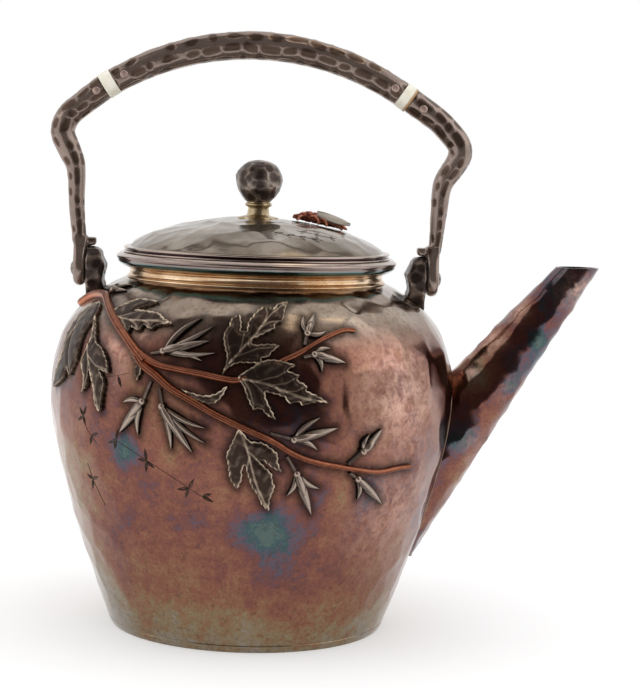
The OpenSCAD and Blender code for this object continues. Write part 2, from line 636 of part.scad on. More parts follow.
module leaf_shoulder() {
    leaf([-48.5, 19.6], -2, [[0, 1, 30, 1.5, 3.2], [1, 1.5, 16, 8.6, 3], [9, 1, 17.5, -3.6, 1.8]]);
}
module leaf_bract() {
    leaf([-40.5, 32.5], -56, [[0, 0, 15.5, 0, 1.5]]);
}
module leaf_top() {
    leaf([-7.6, 39.4], 57, [[0, 0, 35, 0, 5.4], [5, 1.5, 20.2, 9.6, 3.9], [5, -1, 18, -10, 3.3]]);
}
// Its upper lobe lies over the branch, and a knuckle below the branch carries it
module leaf_middle() {
    place = [-2.4, 44.9];
    heading = -15;
    color(DARK_SILVER) union() {
        leaf(place, heading, [[0, 0, 30, 3, 5], [2, -1.5, 13.6, -8, 3.2]]);
        leaf(place, heading, [[1.5, 1.6, 16.5, 12.6, 2.6]], 2.2);
        petal(beside(place, 2.6, -1.4, heading), beside(place, 2.2, 2.6, heading), 1.7, 3.6);
    }
}
module leaf_small() {
    leaf([-17.6, 47.3], 5, [[0, -0.6, 15.8, 0.8, 1.9]]);
}
module leaf_low() {
    leaf([-3.6, 62.2], -70, [[0, 0, 30.4, 0, 4.7], [1.5, -1.5, 19, -8.2, 3.8], [4, 1.5, 17.8, 9, 3.1]]);
}
module bud_shoulder() { bud([-66, 10.6], [-63.5, 9.8], [-55.5, 8.4], [[-58, 4.4]], 1.3); }
module bud_upper_left() {
    bud([-29, 35.2], [-25.3, 34.1], [-13, 29], [[-17, 19.4], [-12.8, 23], [-10.6, 33.4], [-13.8, 36.6]]);
}
module bud_hanging_left() {
    bud([-27.8, 45.2], [-29.7, 52.7], [-37.1, 65], [[-36.1, 53.9], [-31.1, 65]]);
}
module bud_hanging_right() {
    bud([-25, 47.4], [-23.9, 53.8], [-15.6, 69.6], [[-21.3, 69.2], [-11.9, 66.1], [-11.8, 60.5]]);
}
module bud_middle() { bud([4.8, 61.6], [11, 63.7], [22.8, 59.7], [[17.9, 55.7], [17.6, 67.7]]); }
module bud_low() { bud([9.5, 70], [12.4, 76.4], [17.7, 92.8], [[10.3, 85], [19.2, 82.5]]); }
module bud_top_right() { bud([14.2, 29.4], [15.3, 25.1], [19, 15.6], [[15.5, 16.6], [21.4, 23.8]], 1.9); }
module bud_upper_right() { bud([13.6, 34], [16.6, 33.2], [25.6, 36.2], [[21.6, 30.8], [18.4, 39.3]], 1.9); }
module bud_tip_upper() { bud([27, 73.4], [31, 68.8], [36.6, 61], [[32.6, 62.6]], 1.9); }
module bud_tip_lower() { bud([27.9, 76.9], [30.5, 79.3], [41, 90.6], [[31.7, 87.7]], 1.9); }

body_shell();
base_plate();
neck_collar();
mouth_rim();
spout();
ear_left();
ear_right();
hinge_pin_left();
hinge_pin_right();
vine_stem();
vine_branch_upper();
vine_branch_lower();
leaf_outer_left();
leaf_hanging_left();
leaf_shoulder();
leaf_bract();
leaf_top();
leaf_middle();
leaf_small();
leaf_low();
bud_shoulder();
bud_upper_left();
bud_hanging_left();
bud_hanging_right();
bud_middle();
bud_low();
bud_top_right();
bud_upper_right();
bud_tip_upper();
bud_tip_lower();
lid_dome();
lid_ring();
lid_bezel();
finial_knob();
finial_stem();
finial_stud();
finial_nut();
insect_body();
insect_legs();
insect_wings();
bail_grip();
bail_arm_left();
bail_arm_right();
insulator_left();
insulator_right();
cross_pins_left();
cross_pins_right();
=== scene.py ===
import math

import bpy
import numpy as np
from mathutils import Matrix, Vector
from mathutils.bvhtree import BVHTree
from mathutils.kdtree import KDTree


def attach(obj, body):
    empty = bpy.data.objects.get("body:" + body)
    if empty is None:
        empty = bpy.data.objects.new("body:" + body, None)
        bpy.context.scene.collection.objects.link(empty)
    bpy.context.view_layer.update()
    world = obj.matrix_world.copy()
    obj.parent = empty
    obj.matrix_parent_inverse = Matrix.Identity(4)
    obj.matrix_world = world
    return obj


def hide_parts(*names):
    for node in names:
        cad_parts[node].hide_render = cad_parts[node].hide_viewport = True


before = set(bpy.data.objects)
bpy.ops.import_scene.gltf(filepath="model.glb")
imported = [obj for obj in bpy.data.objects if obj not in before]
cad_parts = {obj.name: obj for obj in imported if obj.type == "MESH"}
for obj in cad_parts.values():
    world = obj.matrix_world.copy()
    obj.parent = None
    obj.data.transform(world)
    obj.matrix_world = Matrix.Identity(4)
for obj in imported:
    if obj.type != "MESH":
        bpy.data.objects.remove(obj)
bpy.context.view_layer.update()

MM = 0.001


# Camera. It stands 76 cm in front of the kettle and a little above its shoulder, looks two degrees
# toward the spout and six degrees down through a long lens, and is tipped by two degrees.
yaw, pitch, roll = 0.03458, 0.09742, 0.03463
ahead = Vector((math.sin(yaw) * math.cos(pitch), math.cos(yaw) * math.cos(pitch), -math.sin(pitch)))
level = Vector((math.cos(yaw), -math.sin(yaw), 0))
upright = level.cross(ahead)
across_view = level * math.cos(roll) + upright * math.sin(roll)
up_view = upright * math.cos(roll) - level * math.sin(roll)
camera = bpy.data.objects.new("camera", bpy.data.cameras.new("camera"))
camera.data.sensor_width = 36
camera.data.lens = 100
camera.data.clip_start = 0.05
camera_place = (0, -0.76, 0.18688)
camera.matrix_world = Matrix.Translation(camera_place) @ Matrix(
    (across_view, up_view, -ahead)).transposed().to_4x4()
bpy.context.scene.collection.objects.link(camera)
bpy.context.scene.camera = camera
bpy.context.scene.view_settings.view_transform = 'Standard'


# Table and room. A plain white table stands in a white room, lit all round by soft light. Toward the
# camera the room is dark, with one small window above; the metal mirrors both with broken edges.
def linear(colour):
    """The linear colour of an sRGB hex value."""
    parts = [int(colour[i:i + 2], 16) / 255 for i in (1, 3, 5)]
    return [c / 12.92 if c <= 0.04045 else ((c + 0.055) / 1.055) ** 2.4 for c in parts] + [1]


def add_node(tree, kind, values=(), links=(), **settings):
    """Adds a node with its settings, its sockets' values and the sockets that feed it."""
    made = tree.nodes.new(kind)
    for name, value in settings.items():
        setattr(made, name, value)
    for socket, value in values:
        made.inputs[socket].default_value = value
    for socket, source in links:
        tree.links.new(source, made.inputs[socket])
    return made


def range_of(tree, source, start, end, first=0, last=1, kind='LINEAR'):
    """Carries a value from the range start to end over to the range first to last."""
    return add_node(tree, 'ShaderNodeMapRange', interpolation_type=kind, values=[
        ('From Min', start), ('From Max', end), ('To Min', first), ('To Max', last)],
        links=[('Value', source)]).outputs[0]


def maths(tree, operation, *terms):
    """A math node on terms, each a socket or a number."""
    numbers = [isinstance(term, (int, float)) for term in terms]
    return add_node(tree, 'ShaderNodeMath', operation=operation,
                    values=[(i, t) for i, t in enumerate(terms) if numbers[i]],
                    links=[(i, t) for i, t in enumerate(terms) if not numbers[i]]).outputs[0]


def reach_along(tree, place, way):
    """How far a place or a direction reaches along a way."""
    return add_node(tree, 'ShaderNodeVectorMath', operation='DOT_PRODUCT', values=[(1, way)],
                    links=[(0, place)]).outputs['Value']


room = bpy.data.worlds.new("white room")
bpy.context.scene.world = room
room.use_nodes = True
tree = room.node_tree
tree.nodes.clear()
rays = add_node(tree, 'ShaderNodeLightPath')
direction = add_node(tree, 'ShaderNodeTexCoord')


def patch(edges):
    """A part of the room, where each edge is (a way, out of the part below this, in it above this)."""
    share = rays.outputs['Is Glossy Ray']
    for way, out, into in edges:
        reach = reach_along(tree, direction.outputs['Generated'], way)
        share = maths(tree, 'MULTIPLY', share, range_of(tree, reach, out, into, kind='SMOOTHSTEP'))
    return share


def wall_light(colour, strength):
    return add_node(tree, 'ShaderNodeBackground',
                    values=[('Color', linear(colour)), ('Strength', strength)]).outputs[0]


dark_side = patch((((0, -1, 0), -0.02, 0.03), ((1, 0, 0.85), -0.42, -0.33), ((-1, 0, -0.25), -0.72, -0.66),
                   ((0, 0, 1), -0.42, -0.16)))
window = patch((((1, 0, 0), 0.11, 0.15), ((-1, 0, 0), -0.41, -0.37), ((0, 1, 0), -0.26, -0.22),
                ((0, -1, 0), -0.3, -0.26), ((0, 0, 1), 0.6, 0.7)))
walls = add_node(tree, 'ShaderNodeMixShader', links=[
    (0, dark_side), (1, wall_light('#ffffff', 1)), (2, wall_light('#5a504d', 1))])
walls = add_node(tree, 'ShaderNodeMixShader', links=[
    (0, window), (1, walls.outputs[0]), (2, wall_light('#fff4e0', 2.2))])
add_node(tree, 'ShaderNodeOutputWorld', links=[(0, walls.outputs[0])])

bpy.ops.object.select_all(action='DESELECT')
bpy.ops.mesh.primitive_plane_add(size=1, location=(0, 0, 0))
table = bpy.context.object
table.name = "table"
bpy.ops.object.mode_set(mode='EDIT')
bpy.ops.mesh.select_all(action='SELECT')
bpy.ops.transform.resize(value=(2.6, 1.5, 1))
bpy.ops.transform.translate(value=(0, 0.51, 0))
bpy.ops.object.mode_set(mode='OBJECT')
paint = bpy.data.materials.new("white table")
paint.use_nodes = True
tree = paint.node_tree
tree.nodes.clear()
rays = add_node(tree, 'ShaderNodeLightPath')
table_glow = 0.28
seen = maths(tree, 'ADD', rays.outputs['Is Camera Ray'], rays.outputs['Is Glossy Ray'])
matt = add_node(tree, 'ShaderNodeBsdfDiffuse', values=[('Color', (0.8, 0.8, 0.8, 1))])
glow = add_node(tree, 'ShaderNodeEmission', values=[('Color', (1, 1, 1, 1))],
                links=[('Strength', maths(tree, 'MULTIPLY', seen, table_glow))])
both = add_node(tree, 'ShaderNodeAddShader', links=[(0, matt.outputs[0]), (1, glow.outputs[0])])
add_node(tree, 'ShaderNodeOutputMaterial', links=[(0, both.outputs[0])])
table.data.materials.append(paint)

lamps_aim = Vector((0, 0, 0.1))
lamps = (("left lamp", Vector((-1.1, -0.3, 1.0)), 2.2), ("right lamp", Vector((1.1, -0.1, 0.9)), 2))
for name, place, watts in lamps:
    lamp = bpy.data.objects.new(name, bpy.data.lights.new(name, 'AREA'))
    lamp.data.size = 1.0
    lamp.data.energy = watts
    lamp.location = place
    lamp.rotation_euler = (lamps_aim - place).to_track_quat('-Z', 'Y').to_euler()
    bpy.context.scene.collection.objects.link(lamp)


# Body. One sheet of silver, raised by hammer into a full-shouldered vessel on a flat foot, with a
# line cut round just above the foot. The hammer's faces are left as soft facets about a centimetre wide.
foot_r, belly_r, belly_z = 54.4, 79.7, 92
shoulder_r, shoulder_z = 51.8, 137.4
sheet = 1.0
foot_line = 3.0
# the hammer's marks on a piece: how wide and deep a facet is in mm, and how far it leans
body_marks = (11, 0.65, 0.03)


def curve_through(a, b, c, d, steps):
    """Points along a cubic curve with the handles b and c."""
    out = []
    for i in range(steps + 1):
        t = i / steps
        k = ((1 - t) ** 3, 3 * (1 - t) ** 2 * t, 3 * (1 - t) * t * t, t ** 3)
        out.append(tuple(k[0] * a[n] + k[1] * b[n] + k[2] * c[n] + k[3] * d[n] for n in (0, 1)))
    return out


def evenly(points, spacing):
    """The same path with its points about spacing apart."""
    reach = [0]
    for a, b in zip(points, points[1:]):
        reach.append(reach[-1] + math.dist(a, b))
    count = max(2, round(reach[-1] / spacing))
    wanted = np.linspace(0, reach[-1], count + 1)
    return [tuple(p) for p in np.column_stack([np.interp(wanted, reach, [q[n] for q in points])
                                               for n in range(len(points[0]))])]


def select_only(piece):
    bpy.ops.object.select_all(action='DESELECT')
    piece.select_set(True)
    bpy.context.view_layer.objects.active = piece


def named(name):
    """The active piece, with its name and its mesh's name set."""
    piece = bpy.context.object
    piece.name = name
    piece.data.name = name
    return piece


def edit_all():
    """Opens the active piece's mesh with all of it selected."""
    bpy.ops.object.mode_set(mode='EDIT')
    bpy.ops.mesh.select_all(action='SELECT')


def turn_outward():
    """Turns the faces of the mesh in edit mode outward, and leaves edit mode."""
    bpy.ops.mesh.select_all(action='SELECT')
    bpy.ops.mesh.normals_make_consistent(inside=False)
    bpy.ops.object.mode_set(mode='OBJECT')


hard_edge = math.radians(38)


def spun(name, outline, steps):
    """A raised or turned piece: an outline of (radius, height) in mm, spun about the kettle's axis."""
    bpy.ops.object.select_all(action='DESELECT')
    bpy.ops.mesh.primitive_plane_add(size=0.001, location=(0, 0, 0))
    piece = named(name)
    edit_all()
    bpy.ops.mesh.merge(type='CENTER')
    bpy.ops.transform.translate(value=(outline[0][0] * MM, 0, outline[0][1] * MM))
    for a, b in zip(outline, outline[1:]):
        bpy.ops.mesh.extrude_vertices_move(
            TRANSFORM_OT_translate={"value": ((b[0] - a[0]) * MM, 0, (b[1] - a[1]) * MM)})
    bpy.ops.mesh.select_all(action='SELECT')
    bpy.ops.mesh.spin(steps=steps, angle=2 * math.pi, center=(0, 0, 0), axis=(0, 0, 1))
    bpy.ops.mesh.select_all(action='SELECT')
    bpy.ops.mesh.remove_doubles(threshold=0.002 * MM)
    turn_outward()
    bpy.ops.object.shade_smooth_by_angle(angle=hard_edge)
    return piece


def points_of(piece):
    """The places in mm and the normals of a piece's vertices, as arrays."""
    places = np.empty(len(piece.data.vertices) * 3)
    normals = places.copy()
    piece.data.vertices.foreach_get("co", places)
    piece.data.vertex_normals.foreach_get("vector", normals)
    return places.reshape(-1, 3) / MM, normals.reshape(-1, 3)


def move_points(piece, places):
    piece.data.vertices.foreach_set("co", (places * MM).ravel())
    piece.data.update()


def hammered(piece, facet, depth, tilt, where):
    """Facets facet mm wide and depth mm deep, with soft ridges, that lean by tilt; where() scales them."""
    co, normal = points_of(piece)
    share = np.array([where(Vector(p)) for p in co])

    def chance(cell, turn):
        value = np.sin(cell @ np.array([127.1, 311.7, 74.7]) + turn * 19.19) * 43758.5453
        return value - np.floor(value)

    cell = np.floor(co / facet)
    lift = np.zeros(len(co))
    weights = np.zeros(len(co))
    for step in np.ndindex(3, 3, 3):
        other = cell + np.array(step) - 1
        centre = (other + np.stack([chance(other, n) for n in (1, 2, 3)], axis=1)) * facet
        off = co - centre
        away = (off ** 2).sum(axis=1)
        lean = np.stack([chance(other, n) for n in (4, 5, 6)], axis=1) * 2 - 1
        lean -= normal * (lean * normal).sum(axis=1)[:, None]
        weight = np.exp(-away / (0.11 * facet ** 2))
        lift += weight * (depth * (away / facet ** 2 - 0.3) + tilt * (off * lean).sum(axis=1))
        weights += weight
    lift /= weights
    move_points(piece, co + normal * (lift * share)[:, None])
    select_only(piece)
    bpy.ops.object.shade_smooth_by_angle(angle=hard_edge)
    return lift


lower = curve_through((foot_r, 0), (foot_r + 0.57 * (belly_r - foot_r), 0.435 * belly_z),
                      (belly_r, 0.76 * belly_z), (belly_r, belly_z), 60)
rise = shoulder_z - belly_z
upper = curve_through((belly_r, belly_z), (belly_r, belly_z + 0.51 * rise),
                      (shoulder_r + 0.724 * (belly_r - shoulder_r), shoulder_z - 0.21 * rise),
                      (shoulder_r, shoulder_z), 60)
wall = lower + upper[1:]
outside = [p for p in evenly(wall, 1.35) if abs(p[1] - foot_line) > 0.6 and p[1] > 0.01]
cut = [(np.interp(foot_line + h, [p[1] for p in wall], [p[0] for p in wall]) - d, foot_line + h)
       for h, d in ((-0.35, 0), (-0.12, 0.22), (0.12, 0.22), (0.35, 0))]
outside = sorted(outside + cut, key=lambda p: p[1])
inside = [(p[0] - 1.05, max(p[1] - 0.1, 1.0)) for p in evenly(wall, 3.6) if p[1] < shoulder_z - 1]
body_outline = [(foot_r - 0.4, 0)] + outside + [(48.8, shoulder_z), (48.8, shoulder_z - sheet)]
body_outline += inside[::-1] + [(foot_r - 0.94, 0), (foot_r - 0.4, 0)]
body = spun("raised_body", body_outline, 360)
wall_z = [p[1] for p in wall]
wall_r = [p[0] for p in wall]


def on_body_outside(p):
    if p.z > shoulder_z - 1.5 or p.z < 5 or math.hypot(p.x, p.y) < np.interp(p.z, wall_z, wall_r) - 0.5:
        return 0
    return min(1, (p.z - 5) / 8)


hammered(body, *body_marks, on_body_outside)
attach(body, "kettle")
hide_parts("body_shell")

# Raised sterling silver, oxidised by heat and polish: a film of tarnish over it gives gold, copper,
# rose, violet and teal as it gets thicker, and the shoulder stays grey. The polish is smooth, not a mirror.
tarnish = ((0.0, '#8f857a'), (0.14, '#89795f'), (0.27, '#896850'), (0.38, '#865c4b'), (0.5, '#7c5146'),
           (0.6, '#6f4a47'), (0.7, '#655159'), (0.79, '#545661'), (0.88, '#3f5558'), (1.0, '#546460'))
shoulder_light, shoulder_dark = '#aa9a8b', '#837265'
blush_hue = '#cba393'
speck_hue = '#4c3a35'
# clouds, patches, mottling and specks: (size in mm, detail, warp, how much each changes the film)
clouds = ((38, 3, 1.2, 0.6), (10, 4, 0.8, 0.5), (3, 4, 0.4, 0.45), (0.9, 2, 0, 0.4))
oxide = '#1d1714'


def start_material(name):
    """A new material, its empty node tree, and in it the object's coordinates."""
    material = bpy.data.materials.new(name)
    material.use_nodes = True
    tree = material.node_tree
    tree.nodes.clear()
    return material, tree, add_node(tree, 'ShaderNodeTexCoord').outputs['Object']


def height_of(tree, place):
    return add_node(tree, 'ShaderNodeSeparateXYZ', links=[(0, place)]).outputs['Z']


def kept_on(tree, name):
    """The share that the piece keeps at each vertex under a name."""
    return add_node(tree, 'ShaderNodeAttribute', attribute_name=name).outputs['Fac']


def noise_of(tree, place, size, detail, rough=0.5, warp=0):
    """Noise with spots about size mm across."""
    return add_node(tree, 'ShaderNodeTexNoise', values=[
        ('Scale', 1 / (size * MM)), ('Detail', detail), ('Roughness', rough), ('Distortion', warp)],
        links=[('Vector', place)]).outputs[0]


def ramp_of(tree, source, stops):
    """A colour ramp through stops of (place, sRGB hex or linear colour)."""
    ramp = add_node(tree, 'ShaderNodeValToRGB', links=[(0, source)])
    elements = ramp.color_ramp.elements
    elements.remove(elements[1])
    for spot, colour in stops[1:]:
        elements.new(spot)
    for element, (spot, colour) in zip(elements, stops):
        element.position = spot
        element.color = linear(colour) if isinstance(colour, str) else colour
    return ramp.outputs[0]


def mixed(tree, share, *colours):
    """The first colour where share is 0 and the second where it is 1, each a socket or an sRGB hex."""
    pairs = list(zip('AB', colours))
    return add_node(tree, 'ShaderNodeMix', data_type='RGBA',
                    values=[(name, linear(colour)) for name, colour in pairs if isinstance(colour, str)],
                    links=[('Factor', share)] + [(name, colour) for name, colour in pairs
                                                 if not isinstance(colour, str)]).outputs['Result']


def grained(tree, place, size, strength, depth, rough=0.5):
    """The normal over a fine grain, size mm wide and depth mm deep."""
    return add_node(tree, 'ShaderNodeBump', values=[('Strength', strength), ('Distance', depth * MM)],
                    links=[('Height', noise_of(tree, place, size, 3, rough))]).outputs[0]


def metal_of(tree, clean, colour, gloss, *normal):
    """The metal and the material's output; clean is 1 for bare metal and falls with tarnish."""
    metal = add_node(tree, 'ShaderNodeBsdfPrincipled', values=[('Metallic', clean)],
                     links=list(zip(('Base Color', 'Roughness', 'Normal'), (colour, gloss) + normal)))
    add_node(tree, 'ShaderNodeOutputMaterial', links=[(0, metal.outputs[0])])


def patina(name, rough, base, spots, blushes, shoulder_from, shoulder_to, thin_to):
    """The tarnished silver of body and spout. Spots and blushes are (x, y, z, radius, share) in mm."""
    material, tree, place = start_material(name)
    height = height_of(tree, place)

    def noise(size, detail, warp):
        return noise_of(tree, place, size, detail, 0.62, warp)

    def near_to(x, y, z, radius, amount):
        away = add_node(tree, 'ShaderNodeVectorMath', operation='DISTANCE',
                        values=[(1, (x * MM, y * MM, z * MM))], links=[(0, place)])
        return range_of(tree, away.outputs['Value'], radius * MM, 0, 0, amount, 'SMOOTHSTEP')

    film = range_of(tree, height, 0, thin_to * MM, base - 0.34, base, 'SMOOTHSTEP')
    for size, detail, warp, weight in clouds:
        change = maths(tree, 'MULTIPLY_ADD', noise(size, detail, warp), weight, -weight / 2)
        film = maths(tree, 'ADD', film, change)
    for spot in spots:
        film = maths(tree, 'ADD', film, near_to(*spot))
    colour = ramp_of(tree, film, tarnish)
    mottled = range_of(tree, noise(4, 5, 0.6), 0.38, 0.62, 0.25, 1)
    for spot in blushes:
        colour = mixed(tree, maths(tree, 'MULTIPLY', near_to(*spot), mottled), colour, blush_hue)
    grey = range_of(tree, height, shoulder_from * MM, shoulder_to * MM, kind='SMOOTHSTEP')
    uneven = range_of(tree, noise(16, 5, 0.8), 0.36, 0.64)
    colour = mixed(tree, grey, colour, mixed(tree, uneven, shoulder_light, shoulder_dark))
    speckle = range_of(tree, noise(1.6, 4, 0.3), 0.52, 0.72, 0, 0.55)
    colour = mixed(tree, speckle, colour, speck_hue)
    border = kept_on(tree, "border")
    gloss = range_of(tree, noise(12, 5, 0), 0.3, 0.7, rough - 0.04, rough + 0.07)
    # the last polish leaves marks just under a millimetre wide
    metal_of(tree, 1, mixed(tree, border, colour, oxide), maths(tree, 'MULTIPLY_ADD', border, 0.2, gloss),
             grained(tree, place, 0.8, 0.14, 0.05, 0.62))
    return material


body.data.materials.append(patina("tarnished raised silver", 0.13, 0.49, [
    (7, -76, 48, 18, 0.62), (-46, -62, 77, 11, 0.5), (-26, -74, 60, 16, 0.12), (16, -74, 34, 18, 0.22),
    (-74, -30, 62, 40, -0.3), (-62, -22, 20, 36, -0.25), (-40, -60, 16, 30, -0.15), (60, -48, 30, 40, -0.2),
    (-38, -70, 96, 26, -0.16), (2, -78, 96, 40, 0.15), (66, -30, 50, 16, 0.2), (44, -62, 62, 12, 0.2),
    (40, 60, 60, 34, 0.26), (-30, 70, 90, 30, 0.22), (-60, 40, 40, 30, -0.2), (74, 20, 70, 24, 0.2)],
    [(56, -56, 100, 34, 1.0), (58, -52, 54, 36, 0.55), (-50, -54, 110, 20, 0.6), (-76, -16, 76, 30, 0.4)],
    114, 130, 34))


# Bottom of the body. A flat disc of the same silver, soldered into the foot; it stays a CAD node and gets
# the grey tarnish of the kettle's inside.
def plain_metal(name, hue, rough, speck, spread=0.25, dark=None, clean=1.0):
    """A metal of one hue, uneven on spots speck mm across that are darker by spread or have the hue dark."""
    material, tree, place = start_material(name)
    cloud = noise_of(tree, place, speck, 5, 0.6)
    bright = linear(hue)
    low = linear(dark) if dark else [c * (1 - spread) for c in bright[:3]] + [1]
    gloss = range_of(tree, cloud, 0.3, 0.7, rough + 0.1, rough - 0.03)
    metal_of(tree, clean, ramp_of(tree, cloud, ((0.36, low), (0.62, bright))), gloss,
             grained(tree, place, 0.7, 0.15, 0.05))
    return material


def finish_node(name, material):
    """Gives a CAD node that stays in the picture its finish."""
    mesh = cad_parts[name].data
    mesh.materials.clear()
    mesh.materials.append(material)


inner_silver = plain_metal("tarnished silver inside", '#7f7667', 0.34, 12, 0.3)
finish_node("base_plate", inner_silver)


# Spout. A straight taper of the same sheet, hammered over a stake and soldered to the belly, with its
# mouth cut level. Its facets are smaller than the body's, and its upper side shows them as scallops.
spout_x, spout_z = 128.9, 146.5
spout_slope, spout_taper = math.radians(53.1), math.radians(5.95)
spout_r = 6.85
spout_length = 132
spout_past = 12
spout_sheet = 0.9
spout_marks = (6.5, 0.75, 0.045)
spout_way = Vector((math.cos(spout_slope), 0, math.sin(spout_slope)))
spout_mouth = Vector((spout_x, 0, spout_z))


def apply_modifier(piece, kind, **settings):
    """Adds a modifier with its settings and applies it."""
    select_only(piece)
    tool = piece.modifiers.new(kind, kind)
    for name, value in settings.items():
        setattr(tool, name, value)
    bpy.ops.object.modifier_apply(modifier=tool.name)


bpy.ops.object.select_all(action='DESELECT')
bpy.ops.mesh.primitive_cone_add(vertices=96, end_fill_type='NOTHING', depth=(spout_length + spout_past) * MM,
                                radius1=(spout_r + spout_length * math.tan(spout_taper)) * MM,
                                radius2=(spout_r - spout_past * math.tan(spout_taper)) * MM)
spout = named("hammered_spout")
bpy.ops.object.mode_set(mode='EDIT')
bpy.ops.mesh.select_mode(type='EDGE')
bpy.ops.mesh.select_all(action='DESELECT')
bpy.ops.object.mode_set(mode='OBJECT')
for edge in spout.data.edges:
    ends = [spout.data.vertices[i].co.z for i in edge.vertices]
    edge.select = abs(ends[0] - ends[1]) > 0.01
bpy.ops.object.mode_set(mode='EDIT')
bpy.ops.mesh.subdivide(number_cuts=104)
bpy.ops.mesh.select_mode(type='VERT')
turn_outward()
apply_modifier(spout, 'SOLIDIFY', thickness=spout_sheet * MM, offset=-1, use_even_offset=True)
middle = (spout_mouth + spout_way * (spout_past - spout_length) / 2) * MM
lean = Matrix.Translation(middle) @ Matrix.Rotation(math.pi / 2 - spout_slope, 4, 'Y')
spout.data.transform(lean)

bpy.ops.object.select_all(action='DESELECT')
bpy.ops.mesh.primitive_cube_add(size=0.08, location=(spout_x * MM, 0, (spout_z + 40) * MM))
above_mouth = bpy.context.object
vessel = spun("vessel_as_a_block", [(0, 0)] + evenly(wall, 3) + [(0, shoulder_z)], 180)
for cutter in (above_mouth, vessel):
    apply_modifier(spout, 'BOOLEAN', operation='DIFFERENCE', solver='MANIFOLD', object=cutter)
    bpy.data.objects.remove(cutter)


def off_spout_line(p):
    """How far a point in mm is off the spout's centre line, and how far below its mouth along that line."""
    v = p - spout_mouth
    down = -v.dot(spout_way)
    return (v + spout_way * down).length, down


def on_spout_outside(p):
    off, down = off_spout_line(p)
    skin = spout_r + down * math.tan(spout_taper)
    return 0 if off < skin - 0.4 or p.z > spout_z - 0.4 else min(1, (spout_z - p.z) / 6)


spout.data.materials.clear()
hammered(spout, *spout_marks, on_spout_outside)
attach(spout, "kettle")
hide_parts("spout")
spout.data.materials.append(patina("tarnished spout silver", 0.13, 0.62, [
    (88, -14, 62, 17, -0.42), (98, -14, 84, 12, -0.25), (126, -6, 138, 18, 0.2), (116, -12, 108, 16, 0.2),
    (86, -8, 104, 17, -0.58), (96, -7, 117, 10, -0.4), (106, -6, 130, 9, -0.3), (84, -15, 78, 10, 0.3),
    (70, -17, 44, 10, -0.35), (112, -11, 118, 8, 0.35), (104, -12, 100, 8, 0.3)],
    [(92, -14, 74, 14, 0.4), (104, -16, 96, 12, 0.45), (84, -7, 104, 12, 0.8), (94, -7, 117, 10, 0.8),
     (104, -6, 129, 9, 0.75), (127, -6, 138, 13, 0.8)], 400, 420, 1))


# Seam. A thin line of bright solder runs where the spout meets the belly. It follows the places where
# the spout's side goes into the wall, so half of it shows.
def wire(name, lines, radius, sides=2, swells=None):
    """Round wires along lines of points in mm, as one mesh; swells scale the radius point by point."""
    line = bpy.data.curves.new(name, 'CURVE')
    line.dimensions = '3D'
    for points in lines:
        spline = line.splines.new('POLY')
        spline.points.add(len(points) - 1)
        for point, place, swell in zip(spline.points, points, swells or [1] * len(points)):
            point.co = (*(Vector(place) * MM), 1)
            point.radius = swell
    line.bevel_depth = radius * MM
    line.bevel_resolution = sides
    line.use_fill_caps = True
    piece = bpy.data.objects.new(name, line)
    bpy.context.scene.collection.objects.link(piece)
    select_only(piece)
    bpy.ops.object.convert(target='MESH')
    bpy.ops.object.shade_smooth()
    return bpy.context.object


side_way = Vector((0, 1, 0))
third_way = spout_way.cross(side_way)
seam_r = 0.42
seam_line = []
for i in range(73):
    turn = 2 * math.pi * i / 72
    out = side_way * math.cos(turn) + third_way * math.sin(turn)
    down = 40.0
    while down < spout_length:
        p = spout_mouth - spout_way * down + out * (spout_r + down * math.tan(spout_taper))
        if 0 < p.z < shoulder_z and math.hypot(p.x, p.y) < np.interp(p.z, wall_z, wall_r) - 0.2:
            break
        down += 0.1
    seam_line.append(p)
seam = wire("spout_seam", [seam_line], seam_r)
seam.data.materials.append(plain_metal("bright silver solder", '#8d7a6a', 0.3, 5, 0.45))
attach(seam, "kettle")


# Neck. A short spun band, fire-gilt, with a small bead at its foot; it joins the shoulder to the mouth.
neck_r, neck_h = 50.0, 4.2
rim_z = shoulder_z + neck_h
mouth_r = 48.8


def around(c, r, first, last, steps):
    """Points of an arc in an outline, with its angles in degrees."""
    turns = [math.radians(first + (last - first) * i / steps) for i in range(steps + 1)]
    return [(c[0] + r * math.cos(t), c[1] + r * math.sin(t)) for t in turns]


neck_cove = around((neck_r + 1.9, rim_z - 1.65), 1.9, 240, 120, 14)
neck_bead = around((neck_r + 0.75, shoulder_z + 0.45), 0.45, -90, 90, 10)
neck = spun("gilt_neck", [(mouth_r, shoulder_z)] + neck_bead + neck_cove
            + [(mouth_r, rim_z), (mouth_r, shoulder_z)], 192)
neck.data.materials.append(plain_metal("worn gilding on silver", '#fbe4c4', 0.19, 18, dark='#c9a077'))
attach(neck, "kettle")
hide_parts("neck_collar")


# Mouth rim. A moulded strip, bent into a ring and soldered on the neck: it spreads to a round edge with
# a step below, and the lid rests on it.
rim_r, rim_h = 55.5, 5.6
mouth_z = rim_z + rim_h
rim = spun("moulded_mouth_rim", [
    (mouth_r, rim_z), (neck_r + 1.1, rim_z), (52, rim_z + 0.25), (rim_r - 2.4, rim_z + 0.9),
    (rim_r - 1.3, rim_z + 1.5), (rim_r - 0.55, rim_z + 2.3), (rim_r - 0.45, rim_z + 2.9)]
    + around((rim_r - 0.9, mouth_z - 1.6), 0.9, -40, 80, 10)
    + [(rim_r - 1.5, mouth_z), (mouth_r, mouth_z), (mouth_r, rim_z)], 240)


